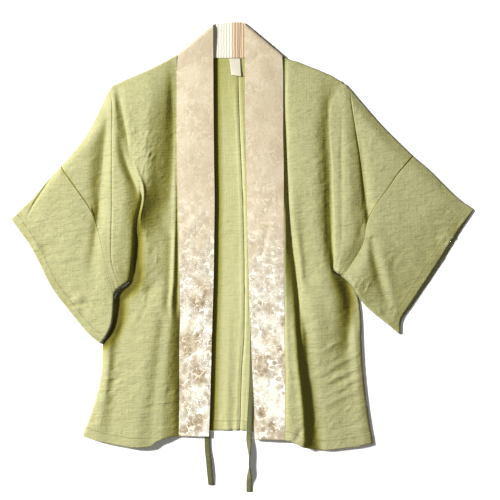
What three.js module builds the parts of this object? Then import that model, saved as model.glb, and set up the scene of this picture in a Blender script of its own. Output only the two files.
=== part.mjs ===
// Open-fronted hanfu shirt with half sleeves, laid flat on its back with the collar at the top.
// Millimetres, +Z up from the surface it lies on, +Y towards the collar.
// Left and right are the wearer's, so the wearer's right is on the -X side.
import * as THREE from "three";

// Cloth
const CLOTH = 1.2;
const COLLAR_CLOTH = 2.4;
const LABEL_CLOTH = 1;
const SEAM_GAP = 0.8;
const LAYER_GAP = 0.3;

// Heights of the middle of the cloth above the surface
const BACK_LEVEL = CLOTH / 2;
const EDGE_LEVEL = CLOTH + LAYER_GAP + CLOTH / 2;
const BEND_RADIUS = EDGE_LEVEL - BACK_LEVEL;

// Sewn edges roll down from the raised front to the flat back over this width
const EDGE_ROLL = 4;

// Across each front, from the collar seam out to the side
const BODY_FOLDS = [
  "collar seam", "collar valley", "narrow ridge", "slope foot", "slope top",
  "main ridge", "ridge shoulder", "outer valley", "side strip", "outer edge",
];

// Across each upper sleeve, from the fold at the armhole out to the sleeve seam
const SLEEVE_FOLDS = [
  "armhole fold", "fold lip", "tongue", "pressed crease", "crease foot", "soft valley", "plane", "sleeve seam",
];

// Each row is a section across the right front: x and z at the folds above, and y from the collar to the side.
// free is the collar's open edge on that section.
const RIGHT_BODY = [
  { at: "shoulder", y: [333, 332, 330, 327, 320, 311, 302, 295, 290, 285],
    x: [-108, -110, -113, -119, -131, -149, -169, -186, -197, -207],
    z: [4, 4, 4, 4.2, 5.5, 7.5, 7.5, 6.5, 6, 5.5], free: [-48, 374, 7] },
  { at: "collarbone", y: [251, 251],
    x: [-108, -110, -112, -117, -128, -151, -174, -187, -194, -200],
    z: [3.8, 3.8, 4, 4.8, 10.5, 14.5, 13.3, 12.4, 11.6, 10.5], free: [-47.5, 259, 7] },
  { at: "chest", y: [200, 200],
    x: [-108, -109.5, -111.5, -117, -133, -154, -172, -182, -186.5, -191],
    z: [3.4, 3.2, 3.2, 3.6, 9.6, 14, 12.5, 11.3, 10.6, 9.5], free: [-47, 203, 7] },
  { at: "bust", y: [150, 150],
    x: [-107, -109, -111.5, -119, -139, -154, -166, -174, -179, -183],
    z: [3.4, 3.2, 3.2, 3, 9.4, 14.2, 13.5, 12.3, 11.2, 9.5], free: [-46.5, 152, 8] },
  { at: "fold head", y: [101, 101],
    x: [-106, -108, -111.5, -120, -136, -149, -156, -160, -163.5, -167],
    z: [3.6, 3.4, 4.2, 2.8, 7, 13, 16.5, 17.5, 16, 9], free: [-45.7, 102, 8] },
  { at: "fold foot", y: [64, 64],
    x: [-105, -107.5, -111.5, -120, -134, -148, -158, -164, -168, -172],
    z: [4, 3.6, 5.2, 4, 4.4, 7.8, 12, 14.5, 14.5, 5], free: [-45.9, 65, 7] },
  { at: "under bust", y: [28, 28],
    x: [-104, -107, -112, -118, -130, -144, -158, -166, -171.5, -177],
    z: [4.4, 3.8, 7, 5, 7, 5.8, 4.8, 4.2, 3, 2.5], free: [-46.4, 29, 7] },
  { at: "above armpit", y: [-10, -10],
    x: [-104, -107, -113, -119, -130, -146, -159, -168, -174, -180],
    z: [4.4, 3.8, 8, 5.6, 7.8, 6.4, 5.2, 4.2, 2.6, 2], free: [-46.8, -9, 7] },
  { at: "armpit", y: [-40, -40],
    x: [-103, -107, -114, -120, -131, -148, -163, -172, -179, -185],
    z: [4.6, 4.2, 9, 6.2, 8.4, 6.6, 5.4, 4.6, 2.8, 2.2], free: [-47.4, -39, 7] },
  { at: "below armpit", y: [-54, -58],
    x: [-103, -108, -115, -121, -133, -150, -166, -179, -192, -203.5],
    z: [4.8, 4.4, 9.5, 6.8, 9, 7, 5.6, 4.2, 3, 2.2], free: [-47.7, -53, 7] },
  { at: "waist top", y: [-76, -79],
    x: [-103, -108, -116, -123, -134, -152, -170, -187, -200, -210.6],
    z: [4.8, 4.4, 10, 8.5, 10.4, 8.6, 6.4, 4.8, 3.2, 2], free: [-48.4, -75, 7] },
  { at: "waist", y: [-107, -110],
    x: [-103, -110, -120, -127, -140, -156, -177, -195, -205, -213],
    z: [4.4, 5, 10.6, 10, 11.6, 10.4, 6.2, 4.4, 3, 2], free: [-49.3, -106, 7] },
  { at: "low waist", y: [-125, -128],
    x: [-103.5, -110.5, -121, -129, -142.5, -158.5, -179.5, -200, -212, -220.4],
    z: [4, 5, 11.2, 10.6, 12.6, 11.4, 7.8, 5.2, 4.2, 2.4], free: [-49.9, -124, 7] },
  { at: "below waist", y: [-140, -144],
    x: [-104, -111, -122, -131, -145, -161, -182, -205, -219, -228.2],
    z: [3.6, 5.2, 12, 11.4, 13.8, 12.4, 8.8, 5.4, 5.4, 3], free: [-50.5, -139, 7] },
  { at: "hip", y: [-190, -190],
    x: [-104, -113, -129, -141, -153, -167, -189, -211, -222, -232],
    z: [3, 4.8, 12.2, 11.8, 14, 13, 9.4, 5.2, 5.2, 3], free: [-51.6, -189, 7.5] },
  { at: "low hip", y: [-239, -239],
    x: [-104, -112, -134, -148, -159, -177, -196, -215, -229, -243],
    z: [3, 4.8, 12.6, 11.6, 13, 12.6, 9.6, 5.6, 5.2, 3], free: [-53, -238, 8] },
  { at: "hem", y: [-295, -295, -299, -304, -312, -313, -310, -307, -302, -295],
    x: [-105, -114, -136, -149, -159, -181, -202, -222, -242, -263],
    z: [4.2, 5.6, 12.6, 11.6, 11.4, 12, 8.8, 6.2, 4.4, 2.6], free: [-55, -296, 9] },
];

// Each row is a section down the right upper sleeve, as a point at each of the sleeve folds.
// The first point of each row is the body's outer edge on the section of the same name.
const RIGHT_UPPER_SLEEVE = [
  { at: "shoulder", points: [
    [-210, 284, 5.5], [-214, 282, 5.5], [-218, 277, 5.5], [-224, 267, 5.5],
    [-235, 243, 5.2], [-260, 196, 5.5], [-299, 149, 6]] },
  { at: "collarbone", points: [
    [-205, 252, 11.4], [-209, 252, 11.8], [-214, 249, 11.4], [-219, 241, 10.8],
    [-229, 223, 9], [-257, 182, 9.8], [-294, 141, 8]] },
  { at: "chest", points: [
    [-201, 208, 12], [-208, 210, 12.8], [-214, 208, 12.3], [-220, 200, 11.3],
    [-233, 183, 8.4], [-255, 155, 10.8], [-282, 125, 9]] },
  { at: "bust", points: [
    [-193, 160, 10.8], [-204, 163, 12.8], [-214, 163, 12.3], [-223, 157, 10.8],
    [-237, 144, 8], [-252, 125, 10.4], [-269, 107, 10]] },
  { at: "fold head", points: [
    [-174, 105, 9.6], [-191, 114, 12.8], [-214, 117, 12.3], [-224, 114, 10.6],
    [-239, 104, 8], [-248, 96, 9], [-257, 90, 10]] },
  { at: "fold foot", points: [
    [-177, 68, 9], [-193, 76, 13.2], [-214, 79, 12.5], [-224, 78, 10.6],
    [-233, 75, 8.6], [-240, 73, 9], [-247, 73, 10]] },
  { at: "under bust", points: [
    [-181, 31, 10.5], [-196, 36, 13], [-215, 38, 13], [-222, 38, 12],
    [-228, 38, 11.4], [-233, 40, 11], [-237, 42, 10.5]] },
  { at: "above armpit", points: [
    [-184, -10, 10], [-198, -10, 12], [-214, -10, 13], [-219, -8, 12.8],
    [-222, -7, 12.6], [-225, -4, 12.4], [-227, 0, 12]] },
  { at: "armpit", points: [
    [-188, -41, 8], [-193, -45, 10], [-200, -51, 11], [-203, -54, 11.2],
    [-206, -57, 11], [-209, -61, 11.5], [-211, -65, 11.5]] },
];

// The right sleeve: outlines from the seam to the cuff, and the front layer's height on rows from seam to cuff
const RIGHT_SLEEVE = {
  topEdge: [[-299, 149], [-318, 129], [-342, 101], [-359, 84], [-381, 62]],
  underside: [[-211, -65], [-211.5, -79], [-214, -110], [-222, -129], [-232, -143]],
  cuff: [
    [-381, 62], [-367, 43], [-351, 21], [-334, -10], [-318, -43],
    [-301, -68], [-268, -109], [-252, -127], [-232, -143],
  ],
  heights: [
    { at: "seam", z: [6, 8.5, 9.5, 10, 10, 10, 10.5, 12, 12] },
    { at: "upper", z: [7, 9.5, 10, 10, 10, 9.5, 9.5, 11.5, 12] },
    { at: "middle", z: [7, 9.5, 10, 10, 10, 9, 9, 11, 11.5] },
    { at: "cuff", z: [7, 9, 9.5, 9.5, 9.5, 9, 9, 10, 9] },
  ],
  backCuffOut: 1,
};

const LEFT_BODY = [
  { at: "shoulder", y: [332, 330, 328, 325, 322, 315, 307, 299, 293, 289],
    x: [67, 70, 73, 78, 90, 108, 128, 146, 156, 164],
    z: [5, 4, 4.2, 4.6, 5.6, 7, 7, 6, 5, 4.5], free: [4, 376, 6.5] },
  { at: "collarbone", y: [251, 251],
    x: [67, 69.5, 72, 76, 90, 111, 126, 136, 141, 145],
    z: [5.4, 3.6, 4.4, 6.6, 8, 9.6, 9, 6.6, 5.2, 5.2], free: [4.6, 259, 6.5] },
  { at: "chest", y: [200, 200],
    x: [67, 69.5, 72, 77, 93, 116, 128, 136, 141, 144],
    z: [7, 4.4, 3, 7, 9.2, 11, 8.8, 6, 5, 5], free: [5.4, 203, 6.5] },
  { at: "bust", y: [150, 150],
    x: [68, 70.5, 73.5, 78, 95, 118, 130, 138, 143, 147],
    z: [8, 5, 2.6, 6, 9.6, 11.6, 9.2, 5.8, 4.4, 4.4], free: [6.3, 152, 7] },
  { at: "fold head", y: [101, 101],
    x: [68, 71, 75, 80, 97, 118, 131, 139, 144, 148],
    z: [9, 7, 2, 6, 10, 12, 9.2, 5.4, 3.6, 3.6], free: [7.3, 102, 7] },
  { at: "fold foot", y: [64, 64],
    x: [68, 71.5, 76, 82, 100, 120, 132, 140, 145, 149],
    z: [9.6, 9, 1.8, 6, 10.4, 12.4, 9.2, 5, 3, 3], free: [7.9, 65, 6.5] },
  { at: "under bust", y: [28, 28],
    x: [68, 72, 77, 84, 101, 121, 133, 141, 146, 149],
    z: [10, 9.6, 1.8, 6, 10.4, 12.4, 9.8, 5.6, 2.6, 2.8], free: [8.6, 29, 6.5] },
  { at: "above armpit", y: [-10, -5],
    x: [68, 72, 79, 87, 105, 123, 134, 143, 147, 150],
    z: [10, 9.8, 2, 6.4, 10.8, 12.6, 11, 6.8, 2.6, 2.6], free: [9.7, -9, 6.5] },
  { at: "armpit", y: [-35, -24],
    x: [68, 73, 81, 89, 106, 125, 136, 144, 148, 151],
    z: [10, 10, 2.4, 7, 11.4, 12.8, 12, 9, 5.6, 2.8], free: [10.4, -34, 6.5] },
  { at: "below armpit", y: [-50, -37],
    x: [68, 73, 82, 92, 110, 128, 141, 151, 159, 166.6],
    z: [10.2, 10.6, 3.4, 7, 12, 12.8, 11.4, 8, 4.6, 2.6], free: [10.7, -49, 6.5] },
  { at: "waist top", y: [-64, -54],
    x: [68, 73, 83, 94, 113, 131, 147, 160, 171, 181.8],
    z: [10.4, 11.4, 4.6, 7, 12.2, 12.6, 10.2, 5, 4.4, 3.8], free: [11.2, -63, 6.5] },
  { at: "waist", y: [-78, -72],
    x: [69, 74, 85, 96, 116, 134, 152, 167, 180, 188.6],
    z: [10.8, 12.4, 6.6, 6.6, 12.4, 12.4, 8.8, 4.2, 5.4, 4.8], free: [11.7, -77, 6.5] },
  { at: "below waist", y: [-104, -104],
    x: [69, 74, 87, 99, 119, 138, 155, 170, 183, 194],
    z: [10.8, 14, 9.4, 6.4, 12, 11.6, 7.6, 3.8, 6.2, 4.8], free: [12.9, -103, 6.5] },
  { at: "high hip", y: [-140, -140],
    x: [69, 75, 91, 103, 123, 143, 158, 173, 186, 196],
    z: [11.6, 17, 13.4, 6.4, 10.4, 9.2, 6.8, 3.8, 6.8, 4.8], free: [14.2, -139, 6.5] },
  { at: "hip", y: [-190, -190],
    x: [70, 77, 96, 109, 130, 149, 164, 177, 189, 199],
    z: [12, 17.6, 15, 6.4, 7.6, 6.6, 5.4, 5, 6.4, 4.8], free: [16.5, -189, 6.5] },
  { at: "low hip", y: [-244, -244],
    x: [70, 78, 100, 116, 136, 154, 169, 182, 194, 205],
    z: [11.6, 17, 15.6, 5, 6, 6, 5.4, 6, 6.8, 4.8], free: [19, -243, 7] },
  { at: "hem", y: [-301, -303, -312, -317, -318, -316, -314, -312, -309, -307],
    x: [70, 82, 100, 123, 141, 158, 174, 189, 202, 215],
    z: [9.6, 15, 15, 4, 5.4, 6, 6, 6.4, 6.6, 4.6], free: [19.8, -300, 7] },
];

const LEFT_UPPER_SLEEVE = [
  { at: "shoulder", points: [
    [167, 286, 5.5], [171, 284, 5.5], [174, 280, 5.5], [178, 276, 5.5],
    [194, 257, 5.5], [232, 214, 5.5], [281, 166, 5.5]] },
  { at: "collarbone", points: [
    [147.5, 256, 7.6], [158, 258, 8.4], [167, 257, 9], [180, 249, 7.6],
    [196, 231, 6.8], [230, 193, 7], [270, 154, 6]] },
  { at: "chest", points: [
    [146.5, 204, 9], [159, 210, 10], [171, 210, 10.6], [187, 206, 6.8],
    [202, 193, 6.4], [229, 168, 7], [255, 137, 6.5]] },
  { at: "bust", points: [
    [149, 158, 9.6], [161, 163, 10.8], [174, 167, 11.6], [193, 167, 6.6],
    [205, 155, 6.4], [224, 137, 7], [242, 118, 7]] },
  { at: "fold head", points: [
    [150, 109, 10], [163, 117, 11.2], [177, 122, 11.8], [198, 127, 6.6],
    [209, 119, 6.4], [219, 109, 7], [228, 99, 7.5]] },
  { at: "fold foot", points: [
    [151, 71, 10.6], [163, 81, 11.6], [179, 87, 12], [200, 92, 6.6],
    [207, 87, 6.6], [211, 82, 7], [215, 80, 7.5]] },
  { at: "under bust", points: [
    [151, 36, 10.8], [163, 45, 12], [177, 51, 12], [188, 53, 9.6],
    [196, 54, 7.2], [200, 56, 6.6], [205, 57, 6.5]] },
  { at: "above armpit", points: [
    [152, 0, 10], [161, 5, 12], [171, 10, 12], [179, 13, 11.4],
    [186, 15, 10], [191, 16, 9], [196, 18, 8]] },
  { at: "armpit", points: [
    [153, -25, 5], [155, -26, 8], [157, -28, 9], [159, -29, 9],
    [161, -30, 9.5], [163, -31, 9.5], [164, -33, 9.5]] },
];

const LEFT_SLEEVE = {
  topEdge: [[281, 166], [309, 142], [342, 109], [359, 94], [381, 78]],
  underside: [[164, -33], [176, -43], [189, -63], [210, -87], [260, -127]],
  cuff: [
    [381, 78], [370, 64], [356, 45], [339, 19], [323, -7],
    [302, -39], [278, -76], [261, -103], [260, -127],
  ],
  heights: [
    { at: "seam", z: [5, 6, 6.5, 7, 7.5, 7.5, 6.5, 8, 9.5] },
    { at: "upper", z: [4.5, 6, 7, 7.5, 8, 8.5, 10.5, 12, 12] },
    { at: "middle", z: [4, 5.5, 6.5, 7, 7.5, 8, 8.5, 8.5, 8] },
    { at: "cuff", z: [2, 3, 3.5, 4, 4, 4.5, 4, 3.5, 3] },
  ],
  backCuffOut: 6,
};

// The collar above the shoulders, from the front over the fold to the centre back: seam side and open edge
const RIGHT_COLLAR_TURN = [
  { at: "front of fold", seam: [-106.5, 330.5, 6.6], free: [-48, 376, 7] },
  { at: "fold", seam: [-105.5, 333.2, 4.1], free: [-47.2, 382.4, 4.1] },
  { at: "back of fold", seam: [-103, 329.6, 1.2], free: [-43, 384, 1.2] },
  { at: "side neck", seam: [-70, 328.6, 1.2], free: [-28, 386.5, 1.2] },
  { at: "near centre", seam: [-34, 328.4, 1.2], free: [-14, 387, 1.2] },
  { at: "centre back", seam: [-4.2, 328.4, 1.2], free: [-4.2, 387, 1.2] },
];
const LEFT_COLLAR_TURN = [
  { at: "front of fold", seam: [65.5, 328.8, 6.4], free: [3.9, 377, 6.6] },
  { at: "fold", seam: [64.5, 331.5, 4.1], free: [3.2, 384.3, 4.1] },
  { at: "back of fold", seam: [61.5, 328.8, 1.2], free: [0.8, 386, 1.2] },
  { at: "side neck", seam: [40, 328.5, 1.2], free: [-0.4, 386.8, 1.2] },
  { at: "near centre", seam: [18, 328.4, 1.2], free: [-2, 387, 1.2] },
  { at: "centre back", seam: [-3.7, 328.4, 1.2], free: [-3.7, 387, 1.2] },
];

// The centre-back seam from neck to hem, and the back hem from the centre out to each side
const CENTRE_BACK = [
  [-6.6, 327.8], [-6.6, 292], [-4, 209], [1, 94], [3.3, -5],
  [3.3, -120], [-0.8, -186], [-3.3, -268], [-4, -285.4],
];
const RIGHT_BACK_HEM = [[-40, -284.6], [-150, -288], [-220, -292]];
const LEFT_BACK_HEM = [[6, -287], [95, -297], [160, -303]];

// Ties: the strip's middle line with the level of its lower edge, and how far it is turned on edge in degrees
const TIE_WIDTH = 9;
const RIGHT_TIE = [
  { at: [-54, -88, 4.6], turn: 0 }, { at: [-54.5, -110, 2.3], turn: 0 },
  { at: [-56, -200, 2.1], turn: 0 }, { at: [-57.5, -270, 2.1], turn: 0 },
  { at: [-58, -298, 1.6], turn: 0 }, { at: [-57.5, -318, 0.7], turn: 0 },
  { at: [-55.5, -336, 0.6], turn: 0 }, { at: [-53.5, -358, 0.6], turn: 0 },
  { at: [-51.8, -375.4, 0.6], turn: 0 },
];
const LEFT_TIE = [
  { at: [17, -88, 4.3], turn: 0 }, { at: [17, -110, 2.3], turn: 0 }, { at: [16, -200, 2.1], turn: 0 },
  { at: [12.5, -260, 2.1], turn: 0 }, { at: [11.5, -285, 2.1], turn: 5 }, { at: [10.8, -300, 1], turn: 20 },
  { at: [11, -314, 0.6], turn: 55 }, { at: [11.2, -330, 0.6], turn: 88 }, { at: [11.2, -346, 0.6], turn: 88 },
  { at: [11.3, -360, 0.6], turn: 45 }, { at: [11.2, -372, 0.6], turn: 8 }, { at: [11.2, -387, 0.6], turn: 0 },
];

// The label on the back just below the neck seam
const LABEL = { corners: [[-21.4, 327.4], [-3.6, 327.4], [-2, 297.6], [-18.5, 300]] };

// How finely the sections are divided: parts of each step between two rows or two folds
const EVEN_2 = [0, 1 / 2];
const EVEN_3 = [0, 1 / 3, 2 / 3];
const FROM_EDGE = [0, 0.03, 0.09, 0.3, 0.6];
const TO_EDGE = [0, 0.4, 0.75, 0.92];
const ACROSS_BODY = [[0], [0], EVEN_2, EVEN_3, EVEN_3, EVEN_3, EVEN_2, EVEN_2, TO_EDGE];
const ACROSS_UPPER_SLEEVE = [EVEN_2, EVEN_2, EVEN_2, EVEN_2, EVEN_2, EVEN_2, EVEN_3];
const COLLAR_ACROSS = [0, 0.25, 0.5, 0.75, 1];
const COLLAR_CROWN = 0.8;
const COLLAR_STARTS = 0.3;
const BACK_FROM_TOP = 0.2;
const BACK_FROM_UNDERARM = 0.05;
const SLEEVE_ALONG = [0, 0.04, 0.15, 0.3, 0.45, 0.6, 0.72, 0.84, 0.95, 1];

// Along the sleeve seam, how far to look each way for its direction, and where a bend heads inward
const SEAM_LOOK = 0.2;
const BEND_TOWARDS = 0.3;

// The back of the cuff shows past its front: where its outward direction is taken from, and how late it starts
const CUFF_OUT_FROM = 0.9;
const CUFF_OUT_POWER = 6;

// A smooth curve through evenly numbered values, which may be numbers or lists of numbers
function along(values, place) {
  const step = Math.min(Math.floor(place), values.length - 2);
  const t = place - step;
  const [b, c] = [values[step], values[step + 1]];
  if (typeof b === "number") {
    return along(values.map((value) => [value]), place)[0];
  }
  const a = values[step - 1] ?? b.map((value, k) => 2 * value - c[k]);
  const d = values[step + 2] ?? c.map((value, k) => 2 * value - b[k]);
  return b.map((value, k) => {
    const start = (c[k] - a[k]) / 2;
    const end = (d[k] - b[k]) / 2;
    const rise = c[k] - value;
    return value + t * (start + t * (3 * rise - 2 * start - end + t * (start + end - 2 * rise)));
  });
}

function places(divisions) {
  return divisions.flatMap((parts, step) => parts.map((part) => step + part)).concat(divisions.length);
}

// Height of a sewn edge's roll: from EDGE_LEVEL at the edge up to the fold's own height, and never lower
function rolled(height, distance) {
  const left = Math.max(1 - distance / EDGE_ROLL, 0);
  return EDGE_LEVEL + Math.max(height - EDGE_LEVEL, 0) * Math.sqrt(1 - left * left);
}

function flatDistance(a, b) {
  return Math.hypot(a[0] - b[0], a[1] - b[1]);
}

// The points of one section across the front, in the order of BODY_FOLDS
function bodyRow(section) {
  return section.x.map((x, k) => {
    const share = k / (BODY_FOLDS.length - 1);
    const y = section.y.length > 2 ? section.y[k] : section.y[0] + share * (section.y[1] - section.y[0]);
    return [x, y, section.z[k]];
  });
}

// One side of the shirt: body and upper sleeve as surfaces that meet along the fold at the armhole
function makeSide(body, upperSleeve) {
  const bodyRows = body.map(bodyRow);
  const armpit = upperSleeve.length - 1;
  const raw = (u, v) => along(BODY_FOLDS.map((_, k) => along(bodyRows.map((row) => row[k]), v)), u);
  const last = BODY_FOLDS.length - 1;
  const bodyPoint = (u, v) => {
    const point = raw(u, v);
    let height = rolled(point[2], flatDistance(point, raw(u, 0)));
    if (v > armpit) {
      height = Math.min(height, rolled(height, flatDistance(point, raw(last, v))));
    }
    return [point[0], point[1], height];
  };
  const sleeveRaw = (u, v) => {
    const row = upperSleeve[0].points.map((_, k) => along(upperSleeve.map((section) => section.points[k]), v));
    return along([raw(last, v), ...row], u);
  };
  const sleevePoint = (u, v) => {
    if (u === 0) {
      return bodyPoint(last, v);
    }
    const point = sleeveRaw(u, v);
    const fromTop = flatDistance(point, sleeveRaw(u, 0));
    const fromUnderarm = flatDistance(point, sleeveRaw(u, armpit));
    return [point[0], point[1], Math.min(rolled(point[2], fromTop), rolled(point[2], fromUnderarm))];
  };
  const bodySteps = body.slice(1).map((_, step) => {
    if (step === 0) {
      return FROM_EDGE;
    }
    return step === armpit - 1 ? TO_EDGE : EVEN_2;
  });
  const downBody = places(bodySteps);
  const downSleeve = downBody.filter((v) => v <= armpit);
  const seamPoint = (v) => raw(0, v);
  return { body, bodyPoint, sleevePoint, sleeveRaw, seamPoint, armpit, last, downBody, downSleeve };
}

// Quads between rows of points
function sheet(rows) {
  const width = rows[0].length;
  const quads = [];
  for (let r = 0; r + 1 < rows.length; r += 1) {
    for (let c = 0; c + 1 < width; c += 1) {
      const corner = r * width + c;
      quads.push([corner, corner + 1, corner + width + 1, corner + width]);
    }
  }
  return { points: rows.flat(), quads };
}

// Sheets joined into one wherever their points coincide
function welded(...sheets) {
  const known = new Map();
  const points = [];
  const quads = sheets.flatMap((part) => {
    const place = part.points.map((point) => {
      const key = point.map((value) => value.toFixed(3)).join();
      if (!known.has(key)) {
        known.set(key, points.push(point) - 1);
      }
      return known.get(key);
    });
    return part.quads.map((quad) => quad.map((k) => place[k]));
  });
  return { points, quads };
}

// A closed wall of cloth: the sheet moved out by half the thickness on each side, with its edges closed
function wall({ points, quads }, thickness) {
  const middle = points.map((point) => new THREE.Vector3(...point));
  const normals = middle.map(() => new THREE.Vector3());
  for (const [a, b, c, d] of quads) {
    const face = middle[c].clone().sub(middle[a]).cross(middle[d].clone().sub(middle[b]));
    for (const k of [a, b, c, d]) {
      normals[k].add(face);
    }
  }
  const outer = middle.map((point, k) => point.clone().addScaledVector(normals[k].normalize(), thickness / 2));
  const inner = middle.map((point, k) => point.clone().addScaledVector(normals[k], -thickness / 2));
  const count = middle.length;
  const index = [];
  const edges = new Map();
  const face = (a, b, c, d) => index.push(a, b, c, a, c, d);
  for (const [a, b, c, d] of quads) {
    face(a, b, c, d);
    face(d + count, c + count, b + count, a + count);
    for (const [from, to] of [[a, b], [b, c], [c, d], [d, a]]) {
      if (!edges.delete(`${to} ${from}`)) {
        edges.set(`${from} ${to}`, [from, to]);
      }
    }
  }
  for (const [from, to] of edges.values()) {
    face(from, from + count, to + count, to);
  }
  const geometry = new THREE.BufferGeometry();
  const positions = [...outer, ...inner].flatMap((point) => point.toArray());
  geometry.setAttribute("position", new THREE.Float32BufferAttribute(positions, 3));
  geometry.setIndex(index);
  return geometry;
}

// Rows of points turned so that their sheet faces up on either side of the shirt
function facingUp(rows) {
  const [a, b, c] = [rows[0][0], rows[0][1], rows[1][0]];
  const turn = (b[0] - a[0]) * (c[1] - a[1]) - (b[1] - a[1]) * (c[0] - a[0]);
  return turn > 0 ? rows : rows.map((row) => [...row].reverse());
}

function makeFront(side) {
  const across = places(ACROSS_BODY);
  const acrossSleeve = places(ACROSS_UPPER_SLEEVE);
  const bodyRows = side.downBody.map((v) => across.map((u) => side.bodyPoint(u, v)));
  const sleeveRows = side.downSleeve.map((v) => acrossSleeve.map((u) => side.sleevePoint(u, v)));
  return wall(welded(sheet(facingUp(bodyRows)), sheet(facingUp(sleeveRows))), CLOTH);
}

// The flat back under one front, with the same outline out to the sleeve seam
function makeBack(side, hem) {
  const flat = (point) => new THREE.Vector2(point[0], point[1]);
  const across = places(ACROSS_BODY);
  const acrossSleeve = places(ACROSS_UPPER_SLEEVE);
  const armpitPoint = side.bodyPoint(side.last, side.armpit);
  const centreGap = Math.sign(armpitPoint[0]) * LAYER_GAP / 2;
  const outline = [
    ...CENTRE_BACK.map(([x, y]) => [x + centreGap, y]),
    ...hem,
    ...side.downBody.filter((v) => v > side.armpit).reverse().map((v) => side.bodyPoint(side.last, v)),
    ...acrossSleeve.slice(0, -1).map((u) => side.sleevePoint(u, side.armpit)),
    ...[...side.downSleeve].reverse().map((v) => side.sleevePoint(acrossSleeve.at(-1), v)),
    ...acrossSleeve.slice(0, -1).reverse().map((u) => side.sleevePoint(u, 0)),
    ...across.slice(0, -1).reverse().map((u) => side.bodyPoint(u, 0)),
    [side.bodyPoint(0, 0)[0], CENTRE_BACK[0][1]],
  ];
  return new THREE.ExtrudeGeometry(new THREE.Shape(outline.map(flat)), { depth: CLOTH, bevelEnabled: false });
}

// The outer half of a sleeve: a tube flattened between its top fold and its underside, open at seam and cuff
function makeSleeve(side, sleeve) {
  const stations = sleeve.cuff.length - 1;
  const lastFold = SLEEVE_FOLDS.length - 1;
  const outward = Math.sign(sleeve.cuff[0][0]);
  const seam = (t) => side.sleeveRaw(lastFold, t);
  const corner = {
    seamTop: seam(0),
    seamUnder: seam(stations),
    cuffTop: sleeve.cuff[0],
    cuffUnder: sleeve.cuff.at(-1),
  };
  const plan = (s, t) => {
    const share = t / stations;
    const top = along(sleeve.topEdge, s * (sleeve.topEdge.length - 1));
    const under = along(sleeve.underside, s * (sleeve.underside.length - 1));
    return [0, 1].map((k) => (1 - s) * seam(t)[k] + s * along(sleeve.cuff, t)[k]
      + (1 - share) * (top[k] - (1 - s) * corner.seamTop[k] - s * corner.cuffTop[k])
      + share * (under[k] - (1 - s) * corner.seamUnder[k] - s * corner.cuffUnder[k]));
  };
  const height = (s, t) => along(sleeve.heights.map((row) => along(row.z, t)), s * (sleeve.heights.length - 1));
  const ringAt = (s) => {
    const start = (t) => {
      const before = seam(Math.max(t - SEAM_LOOK, 0));
      const after = seam(Math.min(t + SEAM_LOOK, stations));
      const slide = (1 - s) * SEAM_GAP * outward / flatDistance(before, after);
      const point = plan(s, t);
      return [point[0] - slide * (after[1] - before[1]), point[1] + slide * (after[0] - before[0])];
    };
    const [topEdge, underEdge] = [start(0), start(stations)];
    const front = side.downSleeve.map((t) => {
      const point = start(t);
      const high = height(s, t);
      const nearer = Math.min(flatDistance(point, topEdge), flatDistance(point, underEdge));
      return [...point, rolled(high, nearer)];
    });
    const bend = (edge, towards) => {
      const length = flatDistance(edge, towards);
      return [Math.PI / 4, Math.PI / 2].map((angle) => {
        const inward = BEND_RADIUS * (1 - Math.cos(angle)) / length;
        return [
          edge[0] + inward * (towards[0] - edge[0]),
          edge[1] + inward * (towards[1] - edge[1]),
          EDGE_LEVEL - BEND_RADIUS * Math.sin(angle),
        ];
      });
    };
    const out = (t) => sleeve.backCuffOut * s ** CUFF_OUT_POWER * Math.sqrt(Math.sin(Math.PI * t / stations));
    const clearOfBends = (t) => t > BACK_FROM_TOP && t < stations - BACK_FROM_UNDERARM;
    const back = [...side.downSleeve].reverse().filter(clearOfBends).map((t) => {
      const [from, to] = [plan(CUFF_OUT_FROM, t), plan(1, t)];
      const reach = out(t) / flatDistance(from, to);
      const point = start(t);
      return [point[0] + reach * (to[0] - from[0]), point[1] + reach * (to[1] - from[1]), BACK_LEVEL];
    });
    const underBend = bend(underEdge, start(stations - BEND_TOWARDS));
    const topBend = bend(topEdge, start(BEND_TOWARDS)).reverse();
    return [...front, ...underBend, ...back, ...topBend];
  };
  const rings = SLEEVE_ALONG.map(ringAt).map((ring) => [...ring, ring[0]]);
  return wall(welded(sheet(facingUp(rings))), CLOTH);
}

// Half of the collar band: up the front's edge, over the fold at the shoulder, to the centre back
function makeCollar(side, turn) {
  const outward = Math.sign(side.bodyPoint(side.last, side.armpit)[0]);
  const rowBetween = (seam, free) => COLLAR_ACROSS.map((share) => {
    const crown = COLLAR_CROWN * 4 * share * (1 - share);
    return seam.map((value, k) => value + share * (free[k] - value) + (k === 2 ? crown : 0));
  });
  const frontRows = [...side.downBody].reverse().filter((v) => v >= COLLAR_STARTS).map((v) => {
    const [x, y, z] = side.seamPoint(v);
    return rowBetween([x - outward * SEAM_GAP, y, z], along(side.body.map((section) => section.free), v));
  });
  const turnEnds = [
    { seam: frontRows.at(-1)[0], free: frontRows.at(-1).at(-1) },
    ...turn,
  ];
  const turnRows = places(turn.map(() => EVEN_3)).slice(1).map((v) => {
    const seam = along(turnEnds.map((row) => row.seam), v);
    const free = along(turnEnds.map((row) => row.free), v);
    return COLLAR_ACROSS.map((share) => {
      const [x, y, z] = seam.map((value, k) => value + share * (free[k] - value));
      return [x, y, Math.max(z, COLLAR_CLOTH / 2)];
    });
  });
  return wall(sheet(facingUp([...frontRows, ...turnRows])), COLLAR_CLOTH);
}

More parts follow.
